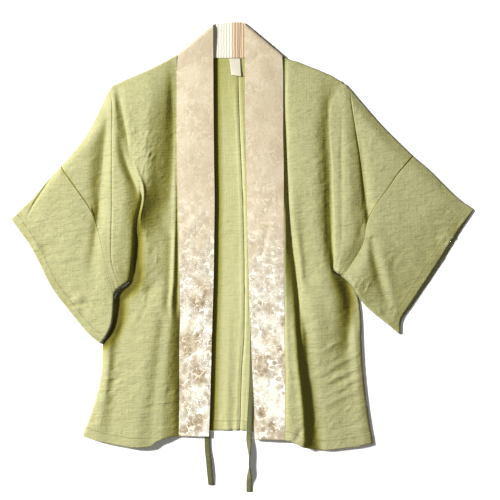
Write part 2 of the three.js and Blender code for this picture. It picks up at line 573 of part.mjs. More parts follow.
// A narrow strip along its middle line, turned on edge where the table says
function makeTie(tie) {
  const rows = places(tie.slice(1).map(() => EVEN_3)).map((v) => {
    const middle = along(tie.map((row) => row.at), v);
    const turn = THREE.MathUtils.degToRad(Math.max(along(tie.map((row) => row.turn), v), 0));
    const reach = TIE_WIDTH / 2;
    return [-1, 0, 1].map((k) => [
      middle[0] + k * reach * Math.cos(turn),
      middle[1],
      Math.max(middle[2], CLOTH / 2) + (k + 1) * reach * Math.sin(turn),
    ]);
  });
  return wall(sheet(facingUp(rows)), CLOTH);
}

function makeLabel() {
  const shape = new THREE.Shape(LABEL.corners.map(([x, y]) => new THREE.Vector2(x, y)));
  return new THREE.ExtrudeGeometry(shape, { depth: LABEL_CLOTH, bevelEnabled: false });
}

const linen = new THREE.MeshStandardMaterial({ color: 0xc3c87e, roughness: 0.85, metalness: 0 });
const satin = new THREE.MeshStandardMaterial({ color: 0xe9d6bd, roughness: 0.45, metalness: 0 });
const labelCloth = new THREE.MeshStandardMaterial({ color: 0xf2f0ea, roughness: 0.7, metalness: 0 });

const shirt = new THREE.Group();

function add(name, geometry, material, level = 0) {
  const piece = new THREE.Mesh(geometry, material);
  piece.name = name;
  piece.position.z = level;
  shirt.add(piece);
}

const right = makeSide(RIGHT_BODY, RIGHT_UPPER_SLEEVE);
const left = makeSide(LEFT_BODY, LEFT_UPPER_SLEEVE);

add("back_right", makeBack(right, RIGHT_BACK_HEM), linen);
add("back_left", makeBack(left, LEFT_BACK_HEM), linen);
add("front_right", makeFront(right), linen);
add("front_left", makeFront(left), linen);
add("sleeve_right", makeSleeve(right, RIGHT_SLEEVE), linen);
add("sleeve_left", makeSleeve(left, LEFT_SLEEVE), linen);
add("collar_right", makeCollar(right, RIGHT_COLLAR_TURN), satin);
add("collar_left", makeCollar(left, LEFT_COLLAR_TURN), satin);
add("tie_right", makeTie(RIGHT_TIE), linen);
add("tie_left", makeTie(LEFT_TIE), linen);
add("neck_label", makeLabel(), labelCloth, CLOTH + LAYER_GAP);

export default shirt;
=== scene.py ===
import math

import bpy
import numpy as np
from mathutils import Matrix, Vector


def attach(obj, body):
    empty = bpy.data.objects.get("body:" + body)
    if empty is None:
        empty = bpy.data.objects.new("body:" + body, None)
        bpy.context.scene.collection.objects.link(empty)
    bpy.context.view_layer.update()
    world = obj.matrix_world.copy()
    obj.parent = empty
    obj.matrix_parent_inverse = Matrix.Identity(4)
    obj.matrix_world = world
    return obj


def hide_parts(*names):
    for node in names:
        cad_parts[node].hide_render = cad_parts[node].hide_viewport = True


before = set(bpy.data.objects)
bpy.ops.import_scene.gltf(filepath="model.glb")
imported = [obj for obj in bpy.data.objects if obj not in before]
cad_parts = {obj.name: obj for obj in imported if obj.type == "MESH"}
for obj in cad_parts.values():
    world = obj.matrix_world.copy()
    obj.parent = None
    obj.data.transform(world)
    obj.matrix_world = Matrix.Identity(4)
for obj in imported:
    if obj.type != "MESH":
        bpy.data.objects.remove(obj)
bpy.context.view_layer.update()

# Camera, lamps and floor
# The shirt lies on a white studio floor and is seen from straight above. A low lamp on the left
# brings out the folds, and a weak one over the hem makes the satin shine.
MM = 0.001
PHOTO_WIDTH = 825 * MM
PHOTO_CENTRE = (12.4 * MM, 11.6 * MM)
CAMERA_HEIGHT = 2200 * MM
SENSOR_WIDTH = 36
FLOOR_SIZE = 6
FLOOR_LEVEL = -0.2 * MM
AMBIENT = 0.13
AMBIENT_COLOUR = (1, 0.97, 0.82, 1)
PHOTO_CONTRAST = 0.8

bpy.ops.object.select_all(action="DESELECT")
bpy.ops.object.camera_add(location=(*PHOTO_CENTRE, CAMERA_HEIGHT), rotation=(0, 0, 0))
camera = bpy.context.object
camera.name = "photo_camera"
camera.data.sensor_width = SENSOR_WIDTH
camera.data.lens = SENSOR_WIDTH * CAMERA_HEIGHT / PHOTO_WIDTH
bpy.context.scene.camera = camera
bpy.context.scene.view_settings.view_transform = "Standard"
bpy.context.scene.view_settings.gamma = PHOTO_CONTRAST


def lamp(name, azimuth, elevation, distance, size, watts, colour=(1, 1, 1)):
    """A soft square lamp aimed at the shirt, with its azimuth clockwise from the collar's end."""
    around, up = math.radians(azimuth), math.radians(elevation)
    towards = Vector((math.sin(around) * math.cos(up), math.cos(around) * math.cos(up), math.sin(up)))
    bpy.ops.object.light_add(type="AREA", location=towards * distance)
    made = bpy.context.object
    made.name = name
    made.rotation_euler = towards.to_track_quat("Z", "Y").to_euler()
    made.data.size = size
    made.data.energy = watts
    made.data.color = colour
    made.visible_camera = False


lamp("low_left_lamp", azimuth=-69, elevation=38, distance=4.5, size=0.5, watts=425)
lamp("satin_lamp", azimuth=183, elevation=77.5, distance=1.88, size=0.6, watts=8)

world = bpy.data.worlds.new("white_room")
world.use_nodes = True
world.node_tree.nodes["Background"].inputs["Color"].default_value = AMBIENT_COLOUR
world.node_tree.nodes["Background"].inputs["Strength"].default_value = AMBIENT
bpy.context.scene.world = world


class Wire:
    """The output of a node, which takes part in sums as a number does."""

    def __init__(self, finish, socket):
        self.finish = finish
        self.socket = socket

    def maths(self, operation, *values):
        return self.finish.add("Math", {"operation": operation}, dict(enumerate((self, *values))))

    def __add__(self, other):
        return self.maths("ADD", other)

    def __sub__(self, other):
        return self.maths("SUBTRACT", other)

    def __rsub__(self, other):
        return self.finish.add("Math", {"operation": "SUBTRACT"}, {0: other, 1: self})

    def __mul__(self, other):
        return self.maths("MULTIPLY", other)

    def __abs__(self):
        return self.maths("ABSOLUTE")

    __radd__ = __add__
    __rmul__ = __mul__

    def sine(self):
        return self.maths("SINE")

    def beside(self, output):
        """Another output of the same node."""
        return Wire(self.finish, self.socket.node.outputs[output])

    def rise(self, low, high):
        """0 below low, 1 above high and smooth between."""
        span = {"Value": self, "From Min": low, "From Max": high}
        return self.finish.add("MapRange", {"interpolation_type": "SMOOTHSTEP"}, span)


class Finish:
    """A material whose nodes are each added by one call."""

    def __init__(self, name):
        self.material = bpy.data.materials.new(name)
        self.material.use_nodes = True
        self.tree = self.material.node_tree
        self.shader = self.tree.nodes["Principled BSDF"]

    def put(self, socket, value):
        if isinstance(value, Wire):
            self.tree.links.new(value.socket, socket)
        else:
            socket.default_value = value

    def add(self, kind, settings=None, inputs=None, output=0):
        """A node of any type: first its settings, then the values or wires of its sockets."""
        node = self.tree.nodes.new("ShaderNode" + kind)
        for name, value in (settings or {}).items():
            setattr(node, name, value)
        for name, value in (inputs or {}).items():
            self.put(node.inputs[name], value)
        return Wire(self, node.outputs[output])

    def noise(self, place, stretch, detail=2.0, twist=0.0):
        """Noise of about one wave a metre times stretch, along X, Y and Z."""
        stretched = self.add("VectorMath", {"operation": "MULTIPLY"}, {0: place, 1: stretch})
        values = {"Vector": stretched, "Scale": 1.0, "Detail": detail, "Distortion": twist}
        return self.add("TexNoise", None, values)

    def mix(self, share, first, second):
        """A colour between two others."""
        return self.add("Mix", {"data_type": "RGBA"}, {0: share, 6: first, 7: second}, output=2)

    def mark(self, name):
        """A number that the mesh keeps at each of its points."""
        return self.add("Attribute", {"attribute_name": name}, output="Fac")

    def bump(self, height, distance):
        return self.add("Bump", None, {"Height": height, "Distance": distance})

    def surface(self, **sockets):
        for name, value in sockets.items():
            self.put(self.shader.inputs[name.replace("_", " ").title().replace("Ior", "IOR")], value)


def colour(red, green, blue):
    return (red, green, blue, 1)


bpy.ops.mesh.primitive_plane_add(size=FLOOR_SIZE, location=(0, 0, FLOOR_LEVEL))
floor = bpy.context.object
floor.name = "studio_floor"
bpy.ops.object.transform_apply(location=True)
paper = Finish("white_paper")
grain = paper.noise(paper.add("TexCoord", output="Object"), (900, 900, 900))
paper.surface(base_color=paper.mix(grain, colour(0.78, 0.78, 0.78), colour(0.8, 0.8, 0.8)), roughness=0.9)
floor.data.materials.append(paper.material)

# Fronts, each in one piece with its upper sleeve
# Thin crinkled linen-like cloth, cut flat with the sleeve in one with the body, and laid on the back.
# The cloth falls in long folds from the shoulder, and a pressed crease runs down each upper sleeve.
CLOTH = 0.7
BACK_LEVEL = CLOTH / 2
EDGE_LEVEL = 1.15
EDGE_ROLL = 3
FRONT_MESH = 2.15
HEM_WIDTH = 17
SEAM_REACH = 0.05

# The single cloth's share of the thickness of the turned hem
HEM_SHARE = 0.5

# Shade painted into the cloth's colour at folds: the depth in millimetres below the cloth around that is
# shaded in full, how widely heights are evened out first, the slopes towards and away from the lamp that
# count, and the marks of painted shade along seams, where painted shadow starts, and of the deepest shade
HOLLOW_DEPTH = 3
HOLLOW_STEPS = 200
HOLLOW_SHARE = 0.5
SHADE_STEPS = 8
FULL_SHADE_SLOPE = 0.45
LIT_SLOPE = 0.12
SEAM_SHADE = 1.5
PAINTED_SHADOW_STARTS = 0.8
DEEPEST_SHADE = 2
SMALLEST_AREA = 1e-3
TOWARDS_LAMP = (-0.93, 0.36)

# The shadow that each sleeve throws on the body, painted into its colour, as x, y and strength along its edge
UNDER_SLEEVE_REACH = 11
UNDER_RIGHT_SLEEVE = [
    (-168, 86, 0.5), (-175, 52, 2), (-175, 0, 2), (-176, -40, 2), (-200, -66, 2), (-203, -92, 2),
    (-212, -120, 2), (-226, -140, 2)]
UNDER_LEFT_SLEEVE = [(156, -34, 0.6), (167, -50, 1.6), (172, -70, 1.2), (173, -100, 0.4)]

# How finely a crease's line is divided, and how many of its reaches away it has faded
CREASE_STEPS = 6
CREASE_ENDS_AT = 3

# Each row is a section across a front, in millimetres: x and z at the ten folds from the collar seam to
# the side. y is given at both ends, or at every fold. free is the collar's open edge there.
RIGHT_BODY = [
    dict(at="shoulder", y=[333, 332, 330, 327, 320, 311, 302, 295, 290, 285],
         x=[-108, -110, -113, -119, -131, -149, -169, -186, -197, -207],
         z=[4, 4, 4, 4.2, 4.6, 5.6, 5.6, 5, 4.4, 3.8], free=[-48, 374, 5.6]),
    dict(at="collarbone", y=[251, 251], x=[-108, -110, -112, -117, -128, -151, -174, -187, -194, -200],
         z=[3.8, 3.8, 4, 4.8, 10.5, 14.5, 13.3, 12.4, 11.6, 9], free=[-47.5, 259, 5.6]),
    dict(at="chest", y=[200, 200], x=[-108, -109.5, -111.5, -117, -133, -154, -172, -182, -186.5, -191],
         z=[3.4, 3.2, 3.2, 3.6, 9.6, 14, 12.5, 11.3, 10.6, 8], free=[-47, 203, 5.6]),
    dict(at="bust", y=[150, 150], x=[-107, -109, -111.5, -119, -139, -154, -166, -174, -179, -183],
         z=[3.4, 3.2, 3.2, 3, 9.4, 14.2, 13.5, 12.3, 11.2, 10.6], free=[-46.5, 152, 5.6]),
    dict(at="fold head", y=[101, 101], x=[-106, -108, -111.5, -120, -136, -149, -156, -160, -163.5, -167],
         z=[3.6, 3.4, 4.2, 2.8, 7, 13, 16.5, 17.5, 16, 9], free=[-45.7, 102, 5.6]),
    dict(at="fold foot", y=[64, 64], x=[-105, -107.5, -111.5, -120, -134, -148, -158, -164, -168, -172],
         z=[4, 3.6, 5.2, 4, 4.4, 7.8, 12, 14.5, 14.5, 5], free=[-45.9, 65, 5.6]),
    dict(at="under bust", y=[28, 28], x=[-104, -107, -112, -118, -130, -144, -158, -166, -171.5, -177],
         z=[4.4, 3.8, 7, 3.8, 4.8, 6.2, 7.4, 6, 3.2, 2.5], free=[-46.4, 29, 5.6]),
    dict(at="above armpit", y=[-10, -10], x=[-104, -107, -113, -119, -130, -146, -159, -168, -174, -180],
         z=[4.4, 3.8, 8, 4.4, 5.6, 6.8, 7.6, 6.2, 2.8, 2], free=[-46.8, -9, 5.6]),
    dict(at="armpit", y=[-40, -40], x=[-103, -107, -114, -120, -131, -148, -163, -172, -179, -185],
         z=[4.6, 4.2, 9, 5.2, 6.4, 7.2, 7.8, 6.4, 3, 2.2], free=[-47.4, -39, 5.6]),
    dict(at="below armpit", y=[-54, -58], x=[-103, -108, -115, -121, -133, -150, -166, -179, -192, -205],
         z=[4.8, 4.4, 9.5, 6.8, 9, 7, 5.6, 4.2, 3, 2.2], free=[-47.7, -53, 5.6]),
    dict(at="waist top", y=[-76, -79], x=[-103, -108, -116, -123, -134, -152, -170, -187, -200, -211.8],
         z=[4.8, 4.4, 10, 8.5, 10.4, 8.6, 6.4, 4.8, 3.2, 2], free=[-48.4, -75, 5.6]),
    dict(at="waist", y=[-107, -110], x=[-103, -108.5, -115.5, -121, -132, -148, -177, -195, -205, -214],
         z=[4.4, 7.2, 10.2, 10.8, 10.2, 11.4, 7.6, 5, 5.6, 2.6], free=[-49.3, -106, 5.6]),
    dict(at="low waist", y=[-125, -128], x=[-103.5, -109.5, -117, -123, -134, -150, -180, -200, -212, -221.8],
         z=[4, 7.3, 10.4, 11, 10.5, 11.8, 8, 5, 6, 2.8], free=[-49.9, -124, 5.6]),
    dict(at="below waist", y=[-140, -144], x=[-104, -110, -118.5, -125, -136, -153, -182, -205, -219, -230],
         z=[3.6, 7.4, 10.8, 11.4, 10.8, 12.2, 8.6, 5.4, 7.6, 3.4], free=[-50.5, -139, 5.6]),
    dict(at="hip", y=[-190, -190], x=[-104, -111.5, -122.5, -131, -142, -159, -187, -211, -222, -232],
         z=[3, 7.2, 11, 11.6, 10.9, 12.4, 9, 6, 8, 3.6], free=[-51.6, -189, 5.6]),
    dict(at="low hip", y=[-239, -239], x=[-104, -111.5, -127, -137, -148, -166, -195, -215, -229, -243],
         z=[3, 7.2, 11, 11.4, 10.7, 12, 9, 6.2, 8, 3.6], free=[-53, -238, 5.6]),
    dict(at="hem", y=[-295, -295, -299, -304, -312, -313, -310, -307, -302, -295],
         x=[-105, -113, -130, -142, -154, -178, -202, -222, -242, -263],
         z=[4.2, 7.2, 11.2, 11, 10.4, 11.6, 8.6, 6.4, 6, 2.6], free=[-55, -296, 5.6]),
]
LEFT_BODY = [
    dict(at="shoulder", y=[332, 330, 328, 325, 322, 315, 307, 299, 293, 289],
         x=[67, 70, 73, 78, 90, 108, 128, 146, 156, 164],
         z=[5, 4, 4.2, 4.6, 4.6, 5, 5, 4.4, 4, 3.6], free=[4, 376, 6.5]),
    dict(at="collarbone", y=[251, 251], x=[67, 69.5, 72, 76, 90, 111, 126, 136, 141, 145],
         z=[5.4, 3.6, 4.4, 7.2, 8.4, 9.2, 9, 6.6, 5.2, 5.2], free=[4.6, 259, 6.5]),
    dict(at="chest", y=[200, 200], x=[67, 69.5, 72, 77, 93, 116, 128, 136, 141, 144],
         z=[7, 4.4, 3, 8, 9.8, 10.6, 8.8, 6, 5, 5], free=[5.4, 203, 6.5]),
    dict(at="bust", y=[150, 150], x=[68, 70.5, 73.5, 78, 95, 118, 130, 138, 143, 147],
         z=[8, 5, 2.6, 7.6, 10.2, 11, 9.2, 5.8, 4.4, 4.4], free=[6.3, 152, 7]),
    dict(at="fold head", y=[101, 101], x=[68, 71, 75, 82, 97, 118, 131, 139, 144, 148],
         z=[9, 7, 2, 8.6, 9.6, 11, 9.2, 5.4, 3.6, 3.6], free=[7.3, 102, 7]),
    dict(at="fold foot", y=[64, 64], x=[68, 71.5, 76.5, 84, 100, 120, 132, 140, 145, 149],
         z=[9.6, 9, 1.8, 9, 9, 11, 9.2, 5, 3, 3], free=[7.9, 65, 6.5]),
    dict(at="under bust", y=[28, 28], x=[68, 72, 80.5, 90, 101, 121, 133, 141, 146, 149],
         z=[10, 9.6, 1.8, 9.4, 8.6, 10.4, 9.8, 5.6, 2.6, 2.8], free=[8.6, 29, 6.5]),
    dict(at="above armpit", y=[-10, -5], x=[68, 72, 86, 94, 105, 123, 134, 143, 147, 150],
         z=[10, 9.8, 2, 9.8, 8.8, 11, 11.4, 8.5, 5, 3.5], free=[9.7, -9, 6.5]),
    dict(at="armpit", y=[-35, -24], x=[68, 73, 88.5, 96, 106, 125, 136, 144, 148, 151],
         z=[10, 10, 2.4, 9.8, 9, 11.6, 12, 11, 9, 5], free=[10.4, -34, 6.5]),
    dict(at="below armpit", y=[-50, -37], x=[68, 73, 90, 98, 110, 128, 141, 151, 161, 171],
         z=[10.2, 10.6, 3.4, 9.8, 10.4, 12.8, 12.4, 10.5, 6, 3], free=[10.7, -49, 6.5]),
    dict(at="waist top", y=[-64, -54], x=[68, 73, 91.5, 99.5, 113, 131, 147, 160, 174, 185.5],
         z=[10.4, 11.4, 4.6, 9.4, 11.4, 12.6, 12.2, 9, 4, 3.8], free=[11.2, -63, 6.5]),
    dict(at="waist", y=[-78, -72], x=[69, 74, 92.5, 101, 116, 134, 152, 167, 182, 192],
         z=[10.8, 12.4, 6.6, 9, 12.4, 12.4, 12, 8, 3.6, 4.2], free=[11.7, -77, 6.5]),
    dict(at="below waist", y=[-104, -104], x=[69, 74, 94, 104, 119, 138, 155, 170, 184, 195.5],
         z=[10.8, 14, 9.4, 8, 12, 11.6, 10.6, 6.6, 4.6, 4.4], free=[12.9, -103, 6.5]),
    dict(at="high hip", y=[-140, -140], x=[69, 75, 95.5, 107, 123, 143, 158, 173, 186, 196],
         z=[11.6, 17, 13.4, 7.4, 10.4, 9.2, 6.8, 3.8, 6.8, 4.8], free=[14.2, -139, 6.5]),
    dict(at="hip", y=[-190, -190], x=[70, 77, 96, 109, 130, 149, 164, 177, 189, 199],
         z=[12, 17.6, 15, 6.4, 7.6, 6.6, 5.4, 5, 6.4, 4.8], free=[16.5, -189, 6.5]),
    dict(at="low hip", y=[-244, -244], x=[70, 78, 100, 116, 136, 154, 169, 182, 194, 205],
         z=[11.6, 17, 15.6, 5, 6, 6, 5.4, 6, 6.8, 4.8], free=[19, -243, 7]),
    dict(at="hem", y=[-301, -303, -312, -317, -318, -316, -314, -312, -309, -307],
         x=[70, 82, 100, 123, 141, 158, 174, 189, 202, 215],
         z=[9.6, 15, 15, 4, 5.4, 6, 6, 6.4, 6.6, 4.6], free=[19.8, -300, 7]),
]

# Each row is a section down an upper sleeve, from the fold at the armhole out to the sleeve seam.
RIGHT_UPPER_SLEEVE = [
    dict(at="shoulder", points=[[-210, 284, 3.8], [-214, 282, 3.8], [-218, 277, 3.8], [-224, 267, 3.6],
                                [-235, 243, 3.4], [-260, 196, 3.2], [-299, 149, 3]]),
    dict(at="collarbone", points=[[-205, 252, 10.2], [-209, 252, 11.8], [-214, 249, 11.4], [-219, 241, 10.8],
                                  [-229, 223, 9], [-257, 182, 9.8], [-294, 141, 8]]),
    dict(at="chest", points=[[-201, 208, 11.4], [-208, 210, 12.8], [-214, 208, 12.3], [-220, 200, 11.3],
                             [-233, 183, 8.4], [-255, 155, 10.8], [-282, 125, 9]]),
    dict(at="bust", points=[[-193, 160, 8.8], [-204, 163, 12.8], [-214, 163, 12.3], [-223, 157, 10.8],
                            [-237, 144, 8], [-252, 125, 10.4], [-269, 107, 10]]),
    dict(at="fold head", points=[[-174, 105, 7.6], [-191, 114, 12.8], [-214, 117, 12.3], [-224, 114, 10.6],
                                 [-239, 104, 8], [-248, 96, 9], [-257, 90, 10]]),
    dict(at="fold foot", points=[[-177, 68, 9], [-193, 76, 13.2], [-214, 79, 12.5], [-224, 78, 10.6],
                                 [-233, 75, 8.6], [-240, 73, 9], [-247, 73, 10]]),
    dict(at="under bust", points=[[-181, 31, 10.5], [-196, 36, 13], [-215, 38, 13], [-222, 38, 12],
                                  [-228, 38, 11.4], [-233, 40, 11], [-237, 42, 10.5]]),
    dict(at="above armpit", points=[[-184, -10, 10], [-198, -10, 12], [-214, -10, 13], [-219, -8, 12.8],
                                    [-222, -7, 12.6], [-225, -4, 12.4], [-227, 0, 12]]),
    dict(at="armpit", points=[[-188, -41, 8], [-193, -45, 10], [-200, -51, 11], [-203, -54, 11.2],
                              [-206, -57, 11], [-209, -61, 11.5], [-211, -65, 11.5]]),
]
LEFT_UPPER_SLEEVE = [
    dict(at="shoulder", points=[[167, 286, 3.6], [171, 284, 3.6], [174, 280, 3.6], [178, 276, 3.4],
                                [194, 257, 3.2], [232, 214, 3], [281, 166, 2.8]]),
    dict(at="collarbone", points=[[147.5, 256, 5.8], [158, 258, 6.4], [167, 257, 7], [180, 249, 6.8],
                                  [196, 231, 6.8], [230, 193, 7], [270, 154, 6]]),
    dict(at="chest", points=[[146.5, 204, 6], [159, 210, 6.8], [171, 210, 7.6], [187, 206, 6.4],
                             [202, 193, 6.4], [229, 168, 7], [255, 137, 6.5]]),
    dict(at="bust", points=[[149, 158, 6.2], [161, 163, 7.2], [174, 167, 8.4], [193, 167, 5.8],
                            [205, 155, 6.4], [224, 137, 7], [242, 118, 7]]),
    dict(at="fold head", points=[[150, 109, 7], [163, 117, 8], [177, 122, 9], [198, 127, 5.6],
                                 [209, 119, 6.4], [219, 109, 7], [228, 99, 7.5]]),
    dict(at="fold foot", points=[[151, 71, 8.4], [163, 81, 9.2], [179, 87, 10], [200, 92, 5.6],
                                 [207, 87, 6.6], [211, 82, 7], [215, 80, 7.5]]),
    dict(at="under bust", points=[[151, 36, 9.6], [163, 45, 10.6], [177, 51, 11], [188, 53, 9.6],
                                  [196, 54, 7.2], [200, 56, 6.6], [205, 57, 6.5]]),
    dict(at="above armpit", points=[[152, 0, 10], [161, 5, 12], [171, 10, 12], [179, 13, 11.4],
                                    [186, 15, 10], [191, 16, 9], [196, 18, 8]]),
    dict(at="armpit", points=[[153, -25, 5], [155, -26, 8], [157, -28, 9], [159, -29, 9],
                              [161, -30, 9.5], [163, -31, 9.5], [164, -33, 9.5]]),
]

# Main creases: lines from the hem upwards or from left to right, as x, y and height, with the reach
# of each crease to the left and right of its line.
RIGHT_CREASES = [
    dict(at="slit under the sleeve", left=2.5, right=1.6, line=[
        (-177, 41, -2), (-174, 63, -5), (-170, 79, -6), (-166, 96, -7), (-166, 107, -6), (-168, 120, -3),
        (-171, 130, 0)]),
    dict(at="lip", left=1.6, right=3, line=[
        (-172, 58, 0), (-168, 73, 2), (-164, 87, 2.5), (-162, 102, 3), (-163, 116, 3), (-167, 127, 2),
        (-173, 142, 1.5), (-179, 157, 0)]),
    dict(at="short fold", left=3.5, right=1.5, line=[
        (-237, 25, 0), (-242, 48, 1.5), (-247, 71, 1.8), (-250, 84, 0)]),
    dict(at="waist dent", left=7, right=7, line=[
        (-176, -101, 0), (-159, -76, -1.6), (-149, -51, -1.2), (-136, -30, 0)]),
    dict(at="rising fold", left=6, right=4, line=[(-194, -129, 0), (-169, -91, 1.2), (-149, -54, 0)]),
    dict(at="broad valley of the sleeve", left=7, right=9, line=[
        (-254, -38, 0), (-245, 12, -1.6), (-238, 61, -2.6), (-233, 111, -2.8), (-228, 160, -2.8),
        (-222, 210, -2), (-217, 250, 0)]),
]
LEFT_CREASES = [
    dict(at="edge of the fold by the band", left=7, right=1.4, line=[
        (103, -303, 3), (99, -239, 4), (93, -186, 4), (89, -140, 3.5), (86, -87, 2.5), (82, -30, 1.5),
        (77, 30, 0)]),
    dict(at="gap beside it", left=1.2, right=9, line=[
        (107, -303, -2), (103, -239, -3), (97, -186, -3), (93, -140, -3), (90, -87, -3), (86, -30, -2),
        (80, 30, 0)]),
    dict(at="soft fold", left=3, right=3, line=[
        (163, 28, -0.6), (163, 127, -0.8), (163, 193, -0.9), (164, 259, 0)]),
    dict(at="fall of the pressed crease", left=5, right=9, line=[
        (214, 12, -2.6), (209, 53, -3.6), (205, 86, -3.6), (200, 127, -2.8), (196, 168, -1.8),
        (187, 210, -1.2), (182, 246, -0.6), (177, 272, 0)]),
    dict(at="hollow under the sleeve", left=8, right=5, line=[
        (177, -157, 0), (177, -120, -1.4), (175, -79, -2), (171, -50, -2), (166, -30, -1)]),
    dict(at="first rising fold", left=4, right=3, line=[(130, -158, 0), (149, -145, 1.4), (171, -134, 0)]),
    dict(at="second rising fold", left=4, right=3, line=[
        (134, -193, 0), (158, -177, 1.6), (181, -165, 1), (197, -157, 0)]),
    dict(at="third rising fold", left=4, right=3, line=[
        (131, -210, 0), (154, -200, 1.3), (177, -188, 1.3), (200, -180, 0)]),
    dict(at="fourth rising fold", left=4, right=3, line=[
        (141, -228, 0), (164, -213, 1.5), (186, -203, 1.1), (202, -196, 0)]),
    dict(at="fifth rising fold", left=5, right=3, line=[
        (131, -249, 0), (154, -236, 1.3), (181, -224, 0.8), (197, -216, 0)]),
    dict(at="hem tuck by the band", left=4, right=4, line=[(82, -310, 0), (92, -292, -2), (100, -276, 0)]),
]

# Patches of many short wrinkles: where each lies and reaches, how its wrinkles are turned in degrees, give
# or take the spread, how many there are, and how long, wide and high they are.
CRUMPLE_COLUMNS = ("at", "centre", "reach", "turn", "spread", "count", "length", "width", "height")
RIGHT_CRUMPLES = [
    ("bulge", (-154, 172), (22, 42), 58, 22, 110, 9, 1.3, 0.55),
    ("chest", (-169, 218), (23, 33), 70, 60, 30, 8, 2, 0.6),
    ("valley", (-209, -211), (15, 79), 5, 20, 70, 9, 1.8, 0.7),
    ("corner", (-242, -277), (20, 20), 100, 40, 20, 7, 2, 0.5),
    ("waist", (-153, -38), (23, 91), 50, 30, 50, 10, 2.2, 0.5),
    ("crest", (-169, -219), (23, 82), 20, 30, 60, 8, 1.8, 0.45),
    ("collar", (-113, -236), (10, 66), 30, 40, 40, 6, 1.6, 0.6),
    ("sleeve", (-255, -5), (20, 66), 0, 30, 60, 9, 1.8, 0.7),
    ("all", (-202, 12), (132, 330), 0, 90, 260, 9, 2, 0.35),
]
LEFT_CRUMPLES = [
    ("valley", (131, 144), (12, 116), 0, 20, 80, 7, 1.5, 0.6),
    ("body", (100, 45), (23, 248), 0, 60, 120, 8, 1.8, 0.3),
    ("rising", (166, -195), (33, 53), 22, 15, 60, 10, 1.8, 0.8),
    ("band", (77, -219), (8, 91), 60, 30, 50, 5, 1.4, 0.6),
    ("lip", (163, 94), (15, 148), 0, 40, 60, 7, 1.6, 0.35),
    ("hem", (144, -277), (58, 30), 80, 50, 40, 9, 2, 0.45),
    ("all", (150, 12), (132, 330), 0, 90, 260, 9, 2, 0.35),
]

# As shares of its row's values: how far a wrinkle is scattered, how its length, width and height vary,
# whether it is a dent or a ridge, and how far it bends
WRINKLE_SCATTER = 0.5
WRINKLE_LENGTHS = (0.6, 1.6)
WRINKLE_WIDTHS = (0.8, 1.5)
WRINKLE_HEIGHTS = (0.3, 1.2)
DENT_OR_RIDGE = [-0.7, 1]
WRINKLE_BEND = 0.8
PRESSED_CREASE_DEPTH = 1.1
PRESSED_CREASE_REACH = 1.3
CREASE_FADES = 2
BESIDE_PRESSED_CREASE = np.array([-0.22, -0.13, -0.07, 0, 0.07, 0.13, 0.22])
FOLD_SOFT_REACH = 12
FOLD_SOFT_STEPS = 14

# How soft the fold at the armhole is at each of the sleeve's sections, from the shoulder down
RIGHT_FOLD_SOFTNESS = [1, 1, 1, 0.7, 0.2, 0, 0, 0, 0]
LEFT_FOLD_SOFTNESS = [1, 1, 0.8, 0.5, 0.2, 0.1, 0, 0, 0]


def along(values, places):
    """A smooth curve through evenly numbered values, read at each place."""
    values = np.asarray(values, float)
    places = np.asarray(places, float)
    ends = np.concatenate([[2 * values[0] - values[1]], values, [2 * values[-1] - values[-2]]])
    step = np.minimum(np.floor(places).astype(int), len(values) - 2)
    part = (places - step).reshape((-1,) + (1,) * (values.ndim - 1))
    before, start, end, after = (ends[step + k] for k in range(4))
    leave, arrive, rise = (end - before) / 2, (after - start) / 2, end - start
    bend, twist = 3 * rise - 2 * leave - arrive, leave + arrive - 2 * rise
    return start + part * (leave + part * (bend + part * twist))


def loft(sections, down, across):
    """Points of a surface through sections, as rows down it of points across it."""
    return np.swapaxes(along(np.swapaxes(along(sections, down), 0, 1), across), 0, 1)


def evenly(sections, spacing, extra=()):
    """Places down the sections that are about one spacing apart."""
    lengths = np.linalg.norm(np.diff(sections, axis=0), axis=2).max(axis=1)
    counts = np.maximum(np.round(lengths / spacing), 1).astype(int)
    steps = [k + np.arange(n) / n for k, n in enumerate(counts)]
    return np.unique(np.concatenate([*steps, [len(counts)], extra]))


def columns_of(body):
    """The points of a body's sections at its folds."""
    rows = []
    for section in body:
        share = np.linspace(0, 1, len(section["x"]))
        y = section["y"]
        if len(y) == 2:
            y = y[0] + share * (y[1] - y[0])
        rows.append(np.column_stack([section["x"], y, section["z"]]))
    return np.array(rows)


def plan_distance(points, others):
    return np.linalg.norm(points[..., :2] - others[..., :2], axis=-1)


def roll_down(points, edge):
    """Lowers the points near a sewn edge, so that the cloth rolls down onto the back."""
    left = np.clip(1 - plan_distance(points, edge) / EDGE_ROLL, 0, 1)
    lowered = EDGE_LEVEL + (points[..., 2] - EDGE_LEVEL) * np.sqrt(1 - left**2)
    points[..., 2] = np.minimum(points[..., 2], lowered)


def crease(points, line, left, right):
    """The height that one crease adds at each of the points."""
    line = along(line, np.linspace(0, len(line) - 1, CREASE_STEPS * (len(line) - 1) + 1))
    reach = CREASE_ENDS_AT * max(left, right)
    low, high = line[:, :2].min(axis=0) - reach, line[:, :2].max(axis=0) + reach
    near = np.all((points[..., :2] > low) & (points[..., :2] < high), axis=-1)
    plan = points[near][:, :2]
    nearest = np.full(len(plan), np.inf)
    side = np.zeros(len(plan))
    height = np.zeros(len(plan))
    for start, end in zip(line[:-1], line[1:]):
        way = end[:2] - start[:2]
        part = np.clip((plan - start[:2]) @ way / (way @ way), 0, 1)
        off = plan - start[:2] - part[:, None] * way
        distance = np.hypot(off[:, 0], off[:, 1])
        closer = distance < nearest
        nearest = np.where(closer, distance, nearest)
        side = np.where(closer, way[0] * off[:, 1] - way[1] * off[:, 0], side)
        height = np.where(closer, start[2] + part * (end[2] - start[2]), height)
    added = np.zeros(points.shape[:2])
    added[near] = height * np.exp(-((nearest / np.where(side > 0, left, right)) ** 2))
    return added


def creased(points, rows):
    """The height that a table of creases adds at each of the points."""
    added = np.zeros(points.shape[:2])
    for row in rows:
        added += crease(points, row["line"], row["left"], row["right"])
    return added


